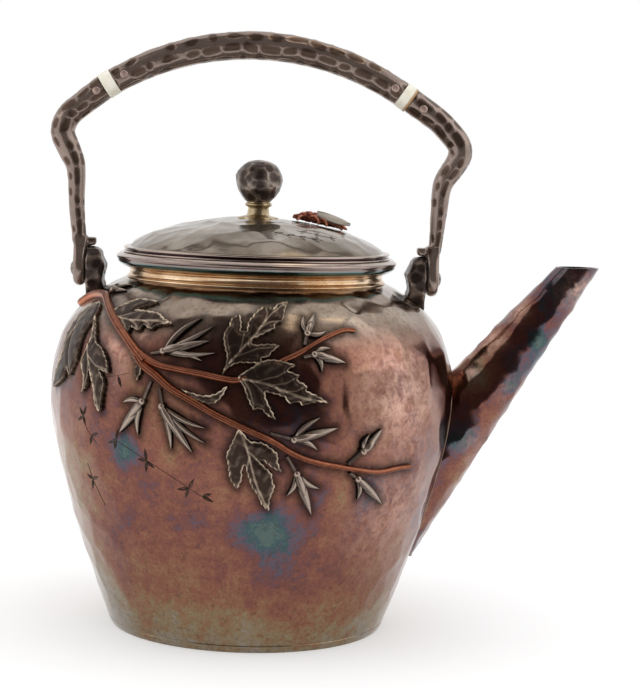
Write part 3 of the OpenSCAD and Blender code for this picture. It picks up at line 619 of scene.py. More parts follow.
def banded_metal(name, rough, waver, bands):
    """Turned silver whose hue changes with height: each band is (height in mm, hue), and the bands hold
    tarnish colours, painted highlight lines and painted shade.
    """
    material, tree, place = start_material(name)
    cloud = noise_of(tree, place, 9, 5, 0.6)
    shift = maths(tree, 'MULTIPLY_ADD', cloud, waver * MM, -waver * MM / 2)
    low, high = bands[0][0], bands[-1][0]
    share = range_of(tree, maths(tree, 'ADD', height_of(tree, place), shift), low * MM, high * MM)
    metal_of(tree, 1, ramp_of(tree, share, [((z - low) / (high - low), hue) for z, hue in bands]),
             range_of(tree, cloud, 0.3, 0.7, rough + 0.06, rough - 0.03))
    return material


# The brown and teal bands low on the rim are tarnish; the lighter bands rising to its round top edge are a
# painted highlight line.
rim.data.materials.append(banded_metal("tarnished moulded silver with a painted highlight line", 0.16, 1.2, (
    (rim_z, '#6e4a2c'), (rim_z + 0.9, '#7d6038'), (rim_z + 1.5, '#4f7a78'), (rim_z + 2.3, '#6d8584'),
    (rim_z + 2.9, '#8d7f7b'), (mouth_z - 1.7, '#857570'), (mouth_z - 0.8, '#a8978e'), (mouth_z, '#b5a59b'))))
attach(rim, "kettle")
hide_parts("mouth_rim")


# Lid. A shallow dome raised from sheet, planished in broad facets, soldered to a moulded ring with a cove
# between two round edges; a bezel strip below it drops into the neck.
lid_r, lid_ring_h, lid_rise = 52.8, 2.5, 12.5
ring_z = mouth_z + lid_ring_h
dome_r = lid_r - 2.3
dome_top = ring_z + lid_rise
lid_marks = (8.5, 0.7, 0.026)
dome_line = curve_through((0, dome_top), (0.4 * dome_r, dome_top), (0.832 * dome_r, ring_z + 0.6 * lid_rise),
                          (dome_r, ring_z), 50)
dome_in = [(max(0, p[0] - 0.35), p[1] - 0.95) for p in evenly(dome_line, 3.0)][::-1]
dome_in[0] = (dome_r - 1.4, ring_z)
lid_dome = spun("planished_lid_dome", evenly(dome_line, 1.15) + dome_in, 300)
dome_line_r = [p[0] for p in dome_line]
dome_line_z = [p[1] for p in dome_line]


def on_dome(x, y):
    """The dome's height in mm at a place."""
    return float(np.interp(math.hypot(x, y), dome_line_r, dome_line_z))


hammered(lid_dome, *lid_marks,
         lambda p: 0 if p.z < on_dome(p.x, p.y) - 0.4 or math.hypot(p.x, p.y) > dome_r - 1 else 1)
lid_dome.data.materials.append(
    plain_metal("grey planished silver", '#968a7e', 0.13, 16, dark='#6c5f50', clean=0.88))
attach(lid_dome, "lid")
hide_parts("lid_dome")

lid_ring = spun("moulded_lid_ring", [(48.35, mouth_z), (lid_r - 0.3, mouth_z)]
                + around((lid_r - 0.45, mouth_z + 0.45), 0.45, -90, 60, 8)
                + [(lid_r - 0.75, mouth_z + 1.15), (lid_r - 0.85, mouth_z + 1.45)]
                + around((lid_r - 0.6, ring_z - 0.5), 0.5, -40, 100, 8)
                + [(dome_r - 0.6, ring_z + 0.25), (dome_r - 3.5, ring_z), (dome_r - 3.5, mouth_z + 1),
                   (48.35, mouth_z + 1), (48.35, mouth_z)], 240)
# The light bands on the ring's two round edges are painted highlight lines, and the dark bands in the cove
# between them are painted shade.
lid_ring.data.materials.append(banded_metal("polished moulded silver", 0.14, 0.3, (
    (mouth_z, '#6b5752'), (mouth_z + 0.5, '#b09e95'), (mouth_z + 0.95, '#8c7a73'), (mouth_z + 1.2, '#3a2c2b'),
    (mouth_z + 1.55, '#43333a'), (mouth_z + 1.9, '#a8968c'), (ring_z, '#b3a297'), (ring_z + 0.3, '#7d7066'))))
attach(lid_ring, "lid")
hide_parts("lid_ring")
finish_node("lid_bezel", inner_silver)


# Finial. A hammered ball, drawn in a little at its foot, on a gilt waisted stem whose foot spreads over
# the dome; a stud goes through both and is held by a nut inside the lid.
knob_z = dome_top + 6.2
knob_r, knob_h = 9.2, 16.6
knob_marks = (3.6, 0.4, 0.08)
knob_shares = (
    (0, 0), (0.5, 0), (0.57, 0.03), (0.74, 0.14), (0.89, 0.28), (0.97, 0.41), (1, 0.53), (0.98, 0.63),
    (0.92, 0.72), (0.82, 0.81), (0.68, 0.885), (0.5, 0.94), (0.28, 0.98), (0, 1))
knob = spun("hammered_knob", evenly([(knob_r * a, knob_z + knob_h * b) for a, b in knob_shares], 0.4), 140)
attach(knob, "lid")
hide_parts("finial_knob")
stem = spun("gilt_finial_stem", [(0, dome_top - 0.7), (8.2, dome_top - 0.55), (8.0, dome_top + 0.05)]
            + around((5.5, dome_top + 1.9), 1.2, 250, 180, 6)
            + [(4.2, dome_top + 2.9), (4.1, dome_top + 3.7), (4.4, dome_top + 4.3)]
            + around((4.6, dome_top + 5.1), 0.7, -50, 80, 8)
            + [(4.7, dome_top + 5.9), (4.6, knob_z), (0, knob_z)], 96)
stem.data.materials.append(plain_metal("gilt turned silver", '#c6b391', 0.26, 4, dark='#8d7757'))
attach(stem, "lid")
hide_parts("finial_stem")
for name in ("finial_stud", "finial_nut"):
    finish_node(name, inner_silver)


def planished_metal(name, high, low, rough):
    """Dark silver with dents: the share dent is 1 in a mark and 0 on the ridges, which wear bright."""
    material, tree, place = start_material(name)
    mottled = maths(tree, 'MULTIPLY_ADD', noise_of(tree, place, 3, 5, 0.65), 0.9, -0.43)
    depth = maths(tree, 'ADD', kept_on(tree, "dent"), mottled)
    metal_of(tree, 0.82, ramp_of(tree, depth, ((0, high), (0.8, low))),
             range_of(tree, depth, 0, 1, rough, rough + 0.08), grained(tree, place, 0.6, 0.2, 0.06))
    return material


def keep_shares(piece, name, shares):
    """Keeps a share for each vertex under a name, for a material to read."""
    kept = piece.data.attributes.new(name, 'FLOAT', 'POINT')
    kept.data.foreach_set("value", np.array(shares, dtype=np.float32))


def dents(piece, facet, depth, tilt):
    """Round hammer dents facet mm wide, and the share that darkens them."""
    lift = hammered(piece, facet, depth, tilt, lambda p: 1)
    low, high = np.percentile(lift, (5, 95))
    keep_shares(piece, "dent", np.clip((high - lift) / (high - low), 0, 1))


dents(knob, *knob_marks)
knob.data.materials.append(planished_metal("oxidised hammered silver", '#988a80', '#463b36', 0.24))


# Ears. Two forged and filed lugs, soldered to the shoulder, each with a round crown that carries a hinge
# pin. They are dark, with small hammer marks all over.
ear_marks = (4.2, 0.4, 0.06)


def forged(name, node, voxel, soften, softer_below=None):
    """A soft-edged copy of a CAD node, as a forged piece has after filing, softer below a height in mm."""
    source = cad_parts[node]
    piece = bpy.data.objects.new(name, source.data.copy())
    piece.data.name = name
    bpy.context.scene.collection.objects.link(piece)
    piece.data.materials.clear()
    select_only(piece)
    edit_all()
    bpy.ops.mesh.remove_doubles(threshold=0.002 * MM)
    bpy.ops.mesh.customdata_custom_splitnormals_clear()
    bpy.ops.object.mode_set(mode='OBJECT')
    apply_modifier(piece, 'REMESH', mode='VOXEL', voxel_size=voxel * MM)
    apply_modifier(piece, 'SMOOTH', factor=0.5, iterations=soften)
    if softer_below:
        group = piece.vertex_groups.new(name="low part")
        for v in piece.data.vertices:
            share = (softer_below * MM - v.co.z) / (4 * MM)
            if share > 0:
                group.add([v.index], min(1, share), 'REPLACE')
        apply_modifier(piece, 'SMOOTH', factor=0.6, iterations=90, vertex_group="low part")
    bpy.ops.object.shade_smooth()
    return piece


for side in ("left", "right"):
    ear = forged(side + "_ear", "ear_" + side, 0.4, 12)
    dents(ear, *ear_marks)
    ear.data.materials.append(
        planished_metal("oxidised forged silver " + side + " ear", '#8c7d73', '#3a302c', 0.27))
    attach(ear, "kettle")
    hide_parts("ear_" + side)
pin_silver = plain_metal("dark silver pin", '#9c8b80', 0.3, 1.5, dark='#5a4a43', clean=0.7)
for side in ("left", "right"):
    finish_node("hinge_pin_" + side, pin_silver)


# Bail. Two forged arms, bent out over the shoulder, and a bowed round grip between them, planished all over
# with rows of oval hammer marks that have gone dark between bright ridges.
pin_z = 139.906
arm_x = 69.95
left_arm = ((0.4, 4), (0.65, 13), (1.45, 20), (1.95, 28), (2.15, 36), (2.95, 41.5), (5.5, 47), (8, 53.5),
            (6, 59.5), (1.45, 64), (-10, 72.8))
right_arm = ((0.4, 4), (0.85, 13), (1.35, 20), (1.85, 28), (2.35, 35), (3.65, 39.5), (6.85, 44.5),
             (9.25, 49.5), (8.45, 54), (4.75, 58.5), (-0.65, 63.5), (-12.9, 71.6))
grip_centre, grip_arc_r = (-2.357, 123.677), 106.033
bail_r = 5.2


def planish(piece, path, length, width, depth, top=None):
    """Staggered rows of oval marks round a bar. path is its centre line, as (x, z) in mm."""
    co, normal = points_of(piece)
    count = len(co)
    path = np.array(path)
    steps = np.diff(path, axis=0)
    lengths = np.linalg.norm(steps, axis=1)
    starts = np.concatenate([[0], np.cumsum(lengths)[:-1]])
    best = np.full(count, 1e9)
    along = np.zeros(count)
    side = np.zeros(count)
    for start, step, run, reach in zip(path, steps, lengths, starts):
        rel = co[:, [0, 2]] - start
        t = np.clip(rel @ step / run ** 2, 0, 1)
        off = rel - t[:, None] * step
        away = np.linalg.norm(off, axis=1)
        near = away < best
        best[near] = away[near]
        along[near] = (reach + t * run)[near]
        side[near] = ((off[:, 0] * -step[1] + off[:, 1] * step[0]) / run)[near]
    turn = np.arctan2(co[:, 1], side)
    rows = 7
    pitch = length * 1.08
    mark = np.zeros(count)
    shift = 1.1 * np.sin(along * 0.31) + 0.6 * np.sin(along * 0.83 + 1)
    for row in range(rows):
        gap = turn - 2 * math.pi * row / rows + 0.09 * np.sin(along * 0.22 + row)
        gap = ((gap + math.pi) % (2 * math.pi) - math.pi) * bail_r
        wave = along + (row % 2) * pitch / 2 + row * 1.7 + shift * (1 if row % 3 else -0.6)
        cell = np.floor(wave / pitch)
        jitter = np.sin(cell * 12.9898 + row * 78.233) * 43758.5453
        jitter = jitter - np.floor(jitter)
        second = (jitter * 97.31) % 1
        ahead_of = wave - (cell + 0.5) * pitch - (jitter - 0.5) * 2.2
        long_half = length / 2 * (0.72 + 0.5 * jitter)
        wide_half = width / 2 * (0.75 + 0.45 * second)
        tilted = gap + ahead_of * 0.16 * (second - 0.5) * 2
        spot = 1 - (np.abs(ahead_of) / long_half) ** 2.4 - (np.abs(tilted) / wide_half) ** 2.2
        spot = np.where(second < 0.07, 0, spot)
        mark = np.maximum(mark, np.clip(spot, 0, 1))
    if top is not None:
        mark = mark * np.clip((co[:, 2] - top) / 4, 0, 1)
    dent = np.clip(mark * 1.2, 0, 1)
    move_points(piece, co - normal * (dent * depth)[:, None])
    keep_shares(piece, "dent", dent)


bail_finish = planished_metal("oxidised planished silver", '#94837a', '#57463c', 0.24)
grip = forged("planished_bail_grip", "bail_grip", 0.42, 3)
planish(grip, [(grip_centre[0] + grip_arc_r * math.cos(math.radians(125 - 2.33 * i)),
                grip_centre[1] + grip_arc_r * math.sin(math.radians(125 - 2.33 * i))) for i in range(31)],
        7.2, 4.1, 0.26)
grip.data.materials.append(bail_finish)
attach(grip, "bail")
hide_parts("bail_grip")
for side, line, way in (("left", left_arm, -1), ("right", right_arm, 1)):
    arm = forged("planished_bail_arm_" + side, "bail_arm_" + side, 0.42, 4, pin_z + 11)
    planish(arm, [(way * (arm_x + dx), pin_z + dz) for dx, dz in line], 6.2, 3.6, 0.2, pin_z + 8)
    arm.data.materials.append(bail_finish)
    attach(arm, "bail")
    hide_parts("bail_arm_" + side)


# Insulators. A disc of ivory between each arm and the grip keeps the heat from the hand; silver pins
# cross the joints. The ivory has fine lengthwise grain and an amber stain by the right arm.
def ivory_disc(name, edge=None, way=None):
    """Ivory, with an amber stain from the place edge in mm along way, if these are given."""
    material, tree, place = start_material(name)
    streak = add_node(tree, 'ShaderNodeMapping', values=[('Scale', (1, 0.25, 1))], links=[('Vector', place)])
    colour = ramp_of(tree, noise_of(tree, streak.outputs[0], 2.2, 3), ((0.3, '#e2dcc8'), (0.7, '#f0ecdf')))
    if edge:
        start = edge.dot(way) * MM
        stain = range_of(tree, reach_along(tree, place, way), start, start + 1.1 * MM, 0, 0.9, 'SMOOTHSTEP')
        colour = mixed(tree, stain, colour, '#9c6a30')
    disc = add_node(tree, 'ShaderNodeBsdfPrincipled', values=[('Roughness', 0.38), ('IOR', 1.54)],
                    links=[('Base Color', colour)])
    add_node(tree, 'ShaderNodeOutputMaterial', links=[(0, disc.outputs[0])])
    return material


right_disc = [v.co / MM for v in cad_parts["insulator_right"].data.vertices]
disc_middle = sum(right_disc, Vector()) / len(right_disc)
along_bar = Vector((disc_middle.z - grip_centre[1], 0, grip_centre[0] - disc_middle.x)).normalized()
finish_node("insulator_left", ivory_disc("polished ivory"))
finish_node("insulator_right", ivory_disc("stained ivory", disc_middle + along_bar * 0.5, along_bar))
rivet_silver = plain_metal("bright silver rivet", '#b89e93', 0.38, 1.2, 0.4, clean=0.6)
for side in ("left", "right"):
    finish_node("cross_pins_" + side, rivet_silver)


# Vine. Its stem and branches are strips of copper, half round with a groove chased along them, bent to
# the belly and soldered on; they run from below the left ear to the right of the belly's middle.
down_wall = wall[::-1]
drops = [0]
for a, b in zip(down_wall, down_wall[1:]):
    drops.append(drops[-1] + math.dist(a, b))
drop_r = [p[0] for p in down_wall]
drop_z = [p[1] for p in down_wall]


def on_wall(azimuth, drop, height):
    """Places height mm off the wall, azimuth degrees from the front toward the spout; arrays are welcome."""
    r0, z0 = np.interp(drop - 1, drops, drop_r), np.interp(drop - 1, drops, drop_z)
    r1, z1 = np.interp(drop + 1, drops, drop_r), np.interp(drop + 1, drops, drop_z)
    run = np.hypot(r1 - r0, z1 - z0)
    r = np.interp(drop, drops, drop_r) - height * (z1 - z0) / run
    z = np.interp(drop, drops, drop_z) + height * (r1 - r0) / run
    turn = np.radians(azimuth)
    places = np.stack([r * np.sin(turn), -r * np.cos(turn), z], axis=-1) * MM
    return Vector(places) if places.ndim == 1 else places


def beside(place, along, across, heading):
    """The place along and across mm from another, with along turned up from level by heading."""
    up = math.sin(heading)
    flat = math.cos(heading)
    drop = place[1] - along * up - across * flat
    return place[0] + np.degrees((along * flat - across * up) / np.interp(drop, drops, drop_r)), drop


def heading_from(a, b):
    mean = np.interp((a[1] + b[1]) / 2, drops, drop_r)
    return math.atan2(a[1] - b[1], math.radians(b[0] - a[0]) * mean)


def blended(points, steps):
    """A smooth path through places."""
    out = []
    last = len(points) - 1
    for i in range(last):
        a, b, c, d = (points[max(0, min(last, i + k))] for k in (-1, 0, 1, 2))
        for k in range(steps):
            t = k / steps
            out.append(tuple(0.5 * (2 * b[n] + (c[n] - a[n]) * t
                                    + (2 * a[n] - 5 * b[n] + 4 * c[n] - d[n]) * t * t
                                    + (3 * b[n] - a[n] - 3 * c[n] + d[n]) * t ** 3) for n in (0, 1)))
    return out + [tuple(points[-1])]


def thick_grid(name, long_steps, cross_steps, size=(1, 2), middle=(0.5, 0)):
    """A sheet with a back 1 below it, from 0 to 1 long and -1 to 1 across unless size and middle say else."""
    bpy.ops.object.select_all(action='DESELECT')
    bpy.ops.mesh.primitive_grid_add(x_subdivisions=long_steps, y_subdivisions=cross_steps, size=1)
    piece = named(name)
    edit_all()
    bpy.ops.transform.resize(value=(*size, 1))
    bpy.ops.transform.translate(value=(*middle, 0))
    bpy.ops.mesh.extrude_region_move(TRANSFORM_OT_translate={"value": (0, 0, -1)})
    turn_outward()
    return piece


def close_up(piece):
    """Turns a laid piece's faces outward and smooths all but its sharp edges."""
    piece.data.update()
    select_only(piece)
    edit_all()
    turn_outward()
    bpy.ops.object.shade_smooth_by_angle(angle=math.radians(50))


def lay(piece, place_of):
    """Moves each vertex to place_of(along, across, is_top), and keeps the brightness share it gives: how
    raised it is, and on stems a painted edge highlight.
    """
    shares = []
    for v in piece.data.vertices:
        v.co, share = place_of(v.co.x, v.co.y, v.co.z > -0.5)
        shares.append(share)
    keep_shares(piece, "raised", shares)
    close_up(piece)


def stem_strip(name, places, w0, w1):
    """A half-round strip along places, w0 mm to w1 mm from its middle to its edge, with one chased groove."""
    path = blended(places, 6)
    last = len(path) - 1
    piece = thick_grid(name, last, 16)

    def place_of(x, y, is_top):
        i = min(last, max(0, round(x * last)))
        w = w0 + (w1 - w0) * x
        heading = heading_from(path[max(0, i - 1)], path[min(last, i + 1)])
        u = max(-1, min(1, y))
        groove = math.exp(-((u + 0.18) / 0.13) ** 2)
        # The strip is lightened along both edges as a painted highlight, though the edges lie lower than its
        # middle; the chased groove stays dark.
        painted_edge_highlight = math.exp(-((abs(u) - 0.86) / 0.1) ** 2)
        high = 0.35 + 1.35 * w * math.sqrt(max(0, 1 - u * u)) - 0.22 * groove * w
        place = beside(path[i], 0, u * w, heading)
        share = min(1, 0.42 + 0.58 * painted_edge_highlight) * (1 - groove)
        return on_wall(place[0], place[1], high if is_top else -0.35), share if is_top else 0

    lay(piece, place_of)
    return piece


def relief_metal(name, high, low, rough, speck, clean=1.0):
    """A metal whose raised parts are rubbed bright and whose hollows stay dark, with a painted highlight
    along the edges of stems; clean falls with tarnish.
    """
    material, tree, place = start_material(name)
    uneven = maths(tree, 'MULTIPLY_ADD', noise_of(tree, place, speck, 4, 0.6), 0.5, -0.25)
    worn = maths(tree, 'ADD', kept_on(tree, "raised"), uneven)
    metal_of(tree, clean, ramp_of(tree, worn, ((0.05, low), (0.9, high))),
             range_of(tree, worn, 0, 1, rough + 0.15, rough), grained(tree, place, 0.5, 0.25, 0.06))
    return material


copper = relief_metal("chased copper", '#c07c5e', '#4f261c', 0.3, 2.5)
stems = {
    "vine_stem": ((-97, 20.6), (-90, 20.3), (-85.6, 20), (-82.2, 17.4), (-77, 14.2), (-69.5, 12.8),
                  (-62.8, 13.8), (-53.1, 19.2), (-43.8, 26.1), (-37.7, 31.2), (-30.5, 38.4)),
    "vine_branch_upper": ((-33, 35.4), (-30.2, 37.2), (-25.8, 39.2), (-21.1, 40), (-13.8, 41.2), (-8.4, 42.4),
                          (-3.7, 42.7), (2.4, 39.2), (7.9, 35.4), (13.3, 31.9), (19.6, 27.1), (27, 23.4),
                          (31.1, 23.5)),
    "vine_branch_lower": ((-33, 36.6), (-30.6, 39.8), (-26.4, 42.9), (-21.6, 47.3), (-15.2, 51.4),
                          (-10.1, 55), (-2.6, 59.6), (4.9, 64), (12.5, 69.9), (18.6, 72.7), (25.4, 74.6),
                          (36.4, 77.4), (44.6, 77), (50.4, 77)),
}
vine_pieces = []
stem_halves = {"vine_stem": (1.4, 1.7), "vine_branch_upper": (1.5, 0.75), "vine_branch_lower": (1.65, 0.8)}
for node, (w0, w1) in stem_halves.items():
    strip = stem_strip("chased_" + node, stems[node], w0, w1)
    strip.data.materials.append(copper)
    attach(strip, "kettle")
    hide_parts(node)
    vine_pieces.append(strip)


# Leaves. Each is cut from silver sheet with toothed lobes, its rim and veins raised from the back by
# punches, and its hollows left black; only the rims and veins are rubbed bright.
leaves = {
    "leaf_middle": ((-3.8, 41.7), -15, (
        (3.8, 4.8), (6.7, 7.9), (11.2, 9.5), (18.4, 9.6), (15.9, 7.1), (20.6, 6.4), (20.3, 4.7),
        (24.1, 3.8), (24.7, 2.1), (28.7, 1.4), (34, 0), (29.3, -0.8), (24.8, -3.2), (22.8, -2.5),
        (19.8, -3.8), (17.7, -2.2), (10.9, -2.2), (11, -3.6), (13, -6.2), (15.3, -8.6), (16.9, -10.5),
        (14, -10.1), (10.7, -8.4), (8.5, -9.4), (5.5, -6.4), (2.8, -2.8), (0, 0))),
    "leaf_top": ((-8.1, 41.1), 57, (
        (5.3, 1.9), (8.8, 5.8), (11.9, 8.6), (15.9, 9.5), (19, 10.8), (22.1, 9.8), (19.1, 6.4), (16.8, 4.7),
        (18, 3), (20.9, 4.8), (24.3, 5.5), (28.8, 5.7), (31.1, 4.1), (31.1, 1.8), (34, 2), (37, 0),
        (32.3, -2.6), (28.9, -4.7), (26.2, -3.4), (24.5, -4.5), (20.4, -2.6), (16.1, -0.8), (15.1, -2.5),
        (18.6, -7.1), (20, -10.2), (16.7, -9.6), (14.4, -9.5), (12.9, -7.9), (11.2, -9), (6.9, -2.5),
        (3.5, -0.4), (0, 0))),
    "leaf_low": ((-3.2, 60.1), -70, (
        (2.6, -2.7), (5.8, -5.7), (7.9, -7.4), (11.1, -7.9), (16.1, -9), (18.7, -8.7), (21, -8),
        (18.2, -5.2), (14.8, -3.9), (13.1, -2.1), (16.6, -2.5), (22.1, -2.6), (25.7, -1.7), (29.6, -1.5),
        (32.7, 0), (29, 1.6), (24.6, 5), (22.3, 5.1), (19.3, 5.6), (15.6, 3.9), (12.5, 2.6), (13.7, 4.5),
        (16.5, 6.1), (19.9, 9.1), (15.9, 9.2), (13.1, 10), (9.9, 8.3), (7.4, 6.3), (5.4, 2.3), (2.7, 1.2),
        (0, 0))),
    "leaf_hanging_left": ((-58.5, 22.5), -61, (
        (6.6, 1), (11.5, 1), (15.7, -1.7), (19.3, -4.7), (25.7, -4.2), (30.3, -6.7), (29.2, -3.4),
        (24.3, -0.2), (30.8, 0.4), (37.1, -1), (41.1, -0.1), (36, 3.8), (31.7, 6.3), (26.5, 5), (28.5, 7.7),
        (29.5, 9.4), (24.5, 9.4), (18.8, 7.4), (14.8, 4.3), (7, 2.6), (0, 0))),
    "leaf_outer_left": ((-63.1, 16.8), -107, (
        (5.5, -5.1), (11.9, -5.6), (18.7, -4.4), (25, 0.3), (32.3, -1.5), (38.8, -0.8), (32.4, 7.3),
        (26.8, 9.1), (27.9, 13.2), (21.2, 14.5), (16.5, 12.2), (10.8, 9.6), (4, 7.8), (0, 1))),
    "leaf_shoulder": ((-51.5, 22.0), -2, (
        (1.7, 3.7), (4.7, 7), (9.2, 10), (18.3, 9.7), (15.7, 7.3), (12.3, 4.4), (20.2, 4.3), (24.1, 3.8),
        (28.2, 1.7), (32.8, 0), (27.6, -0.9), (25.1, -3.1), (21.3, -1.6), (20.4, -4.3), (15.9, -3.2),
        (15.8, -5.7), (7.9, -2.1), (0, 0))),
    "leaf_small": ((-18.5, 47.6), 9, (
        (4.1, -3), (7.4, -4.8), (11.2, -5.6), (14.5, -3.4), (16.6, 0), (13.2, -1.9), (10.4, -2.6),
        (6.9, -2.3), (3.5, -1), (0, 0.4))),
    "leaf_bract": ((-39.8, 28.7), -56, (
        (4.2, 1.2), (9.8, 2.9), (15, 3.4), (17.8, 2.6), (19.7, 0), (16.5, 0.2), (14.2, 1.8), (8.7, 0.9),
        (4.5, 0.2), (0, 0))),
}


def off_segments(points, segments):
    """The distance of each point to the nearest of some straight stretches."""
    best = np.full(len(points), 1e9)
    for a, b in segments:
        a = np.array(a, dtype=float)
        step = np.array(b, dtype=float) - a
        t = np.clip((points - a) @ step / max(step @ step, 1e-9), 0, 1)
        best = np.minimum(best, np.linalg.norm(points - a - t[:, None] * step, axis=1))
    return best


def toothed(outline):
    """The outline with round bays, pointed lobes and fine teeth."""
    count = len(outline)
    pull = []
    for i, p in enumerate(outline):
        a, b = outline[i - 1], outline[(i + 1) % count]
        way = Vector((b[0] - a[0], b[1] - a[1]))
        angle = (Vector(a) - Vector(p)).angle(Vector(b) - Vector(p), 3.1)
        reach = min(math.dist(a, p), math.dist(p, b))
        pull.append(way.normalized() * reach * min(1, max(0.1, (math.degrees(angle) - 35) / 90)))
    smooth = []
    for i, p in enumerate(outline):
        q = outline[(i + 1) % count]
        u, v = pull[i], pull[(i + 1) % count]
        steps = max(2, round(math.dist(p, q) / 0.45))
        for k in range(steps):
            t = k / steps
            h = (2 * t ** 3 - 3 * t * t + 1, t ** 3 - 2 * t * t + t, 3 * t * t - 2 * t ** 3, t ** 3 - t * t)
            smooth.append(Vector([h[0] * p[n] + h[1] * u[n] + h[2] * q[n] + h[3] * v[n] for n in (0, 1)]))
    area = sum(a[0] * b[1] - a[1] * b[0] for a, b in zip(outline, outline[1:] + outline[:1]))
    out = []
    run = 0
    for i, p in enumerate(smooth):
        way = smooth[(i + 1) % len(smooth)] - smooth[i - 1]
        outward = Vector((way.y, -way.x)).normalized() * (1 if area > 0 else -1)
        run += (p - smooth[i - 1]).length
        share = min(1, p.length / 6)
        tooth = (run / 2.3) % 1
        out.append(tuple(p + outward * (0.5 * (tooth if tooth < 0.8 else 4 * (1 - tooth)) - 0.2) * share))
    return out


def toothed_leaf(name, place, heading, corners, lift=0.0):
    """A leaf with its lobes' corners given in mm, (along, across) from its place on the wall."""
    outline = toothed(corners)
    xs = [p[0] for p in outline]
    ys = [p[1] for p in outline]
    cell = 0.3
    wide = max(xs) - min(xs) + 1
    high = max(ys) - min(ys) + 1
    piece = thick_grid(name, round(wide / cell), round(high / cell), (wide, high),
                       ((max(xs) + min(xs)) / 2, (max(ys) + min(ys)) / 2))
    bpy.ops.object.select_all(action='DESELECT')
    bpy.ops.mesh.primitive_circle_add(vertices=len(outline), radius=1, fill_type='NGON')
    blade = bpy.context.object
    for v, p in zip(blade.data.vertices, outline):
        v.co = (p[0], p[1], 1)
    edit_all()
    bpy.ops.mesh.extrude_region_move(TRANSFORM_OT_translate={"value": (0, 0, -3)})
    turn_outward()
    apply_modifier(piece, 'BOOLEAN', operation='INTERSECT', solver='MANIFOLD', object=blade)
    bpy.data.objects.remove(blade)
    piece.data.materials.clear()
    co = np.empty(len(piece.data.vertices) * 3)
    piece.data.vertices.foreach_get("co", co)
    co = co.reshape(-1, 3)
    flat = co[:, :2]
    top = co[:, 2] > -0.5
    # the rib and the veins bend a little, and each vein runs to a lobe's tip
    tip = max(corners, key=lambda p: p[0])
    bent = flat.copy()
    bent[:, 1] += 0.5 * np.sin(flat[:, 0] * 0.22 + place[0])
    veins = [((0, 0), (tip[0] * 0.95, tip[1] * 0.95 + 0.5 * math.sin(tip[0] * 0.22 + place[0])))]
    area = sum(a[0] * b[1] - a[1] * b[0] for a, b in zip(corners, corners[1:] + corners[:1]))
    for i, p in enumerate(corners[:-1]):
        before = Vector(corners[i - 1]) - Vector(p)
        after = Vector(corners[i + 1]) - Vector(p)
        turn = before.x * after.y - before.y * after.x
        sharp = before.angle(after, 3.14) < math.radians(125)
        if p != tip and sharp and turn * area < 0:
            spring = max(1.5, p[0] - 0.95 * abs(p[1]) - 2.5)
            start = (spring, spring / tip[0] * tip[1])
            elbow = (start[0] * 0.45 + p[0] * 0.55, start[1] * 0.62 + p[1] * 0.38)
            veins.append((start, elbow))
            veins.append((elbow, (p[0] * 0.97, p[1] * 0.94)))
    edge = off_segments(flat, list(zip(outline, outline[1:] + outline[:1])))
    off_veins = off_segments(bent, veins[1:] or veins)
    vein = np.exp(-(off_veins / 0.3) ** 2) * np.clip(edge / 0.8, 0, 1)
    rib = np.exp(-(off_segments(bent, veins[:1]) / 0.38) ** 2)
    rim = np.exp(-(edge / 0.36) ** 2)
    rolled = np.exp(-((edge - 0.9) / 0.6) ** 2)
    quilt = np.clip(off_veins / 2.6, 0, 1)
    swelling = 0.45 * quilt * (2 - quilt) * np.clip(edge / 1.5, 0, 1)
    heights = 0.75 + lift + 0.4 * rim - 0.15 * rolled + 0.22 * vein + 0.28 * rib + swelling \
        + 0.3 * np.clip(flat[:, 0] / max(xs), 0, 1) ** 2
    broken = 0.45 + 0.55 * np.sin(flat[:, 0] * 1.3 + 2 * np.sin(flat[:, 1] * 0.9 + place[1]))
    bright = rim * (0.6 + 0.4 * broken) + vein * 0.4 + rib * 0.48 + 0.12 * quilt * broken
    at = beside(place, flat[:, 0], flat[:, 1], heading)
    set_on = on_wall(at[0], at[1], np.where(top, heights, -0.35 + lift * 0.6))
    piece.data.vertices.foreach_set("co", set_on.ravel())
    keep_shares(piece, "raised", np.where(top, np.clip(bright, 0, 1), 0))
    close_up(piece)
    return piece


leaf_silver = relief_metal("chased oxidised leaf silver", '#c6b29c', '#392c26', 0.25, 4, 0.92)
for node, (place, heading, outline) in leaves.items():
    blade = toothed_leaf("chased_" + node, place, math.radians(heading), list(outline),
                         0.7 if node == "leaf_middle" else 0)
    blade.data.materials.append(leaf_silver)
    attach(blade, "kettle")
    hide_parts(node)
    vine_pieces.append(blade)


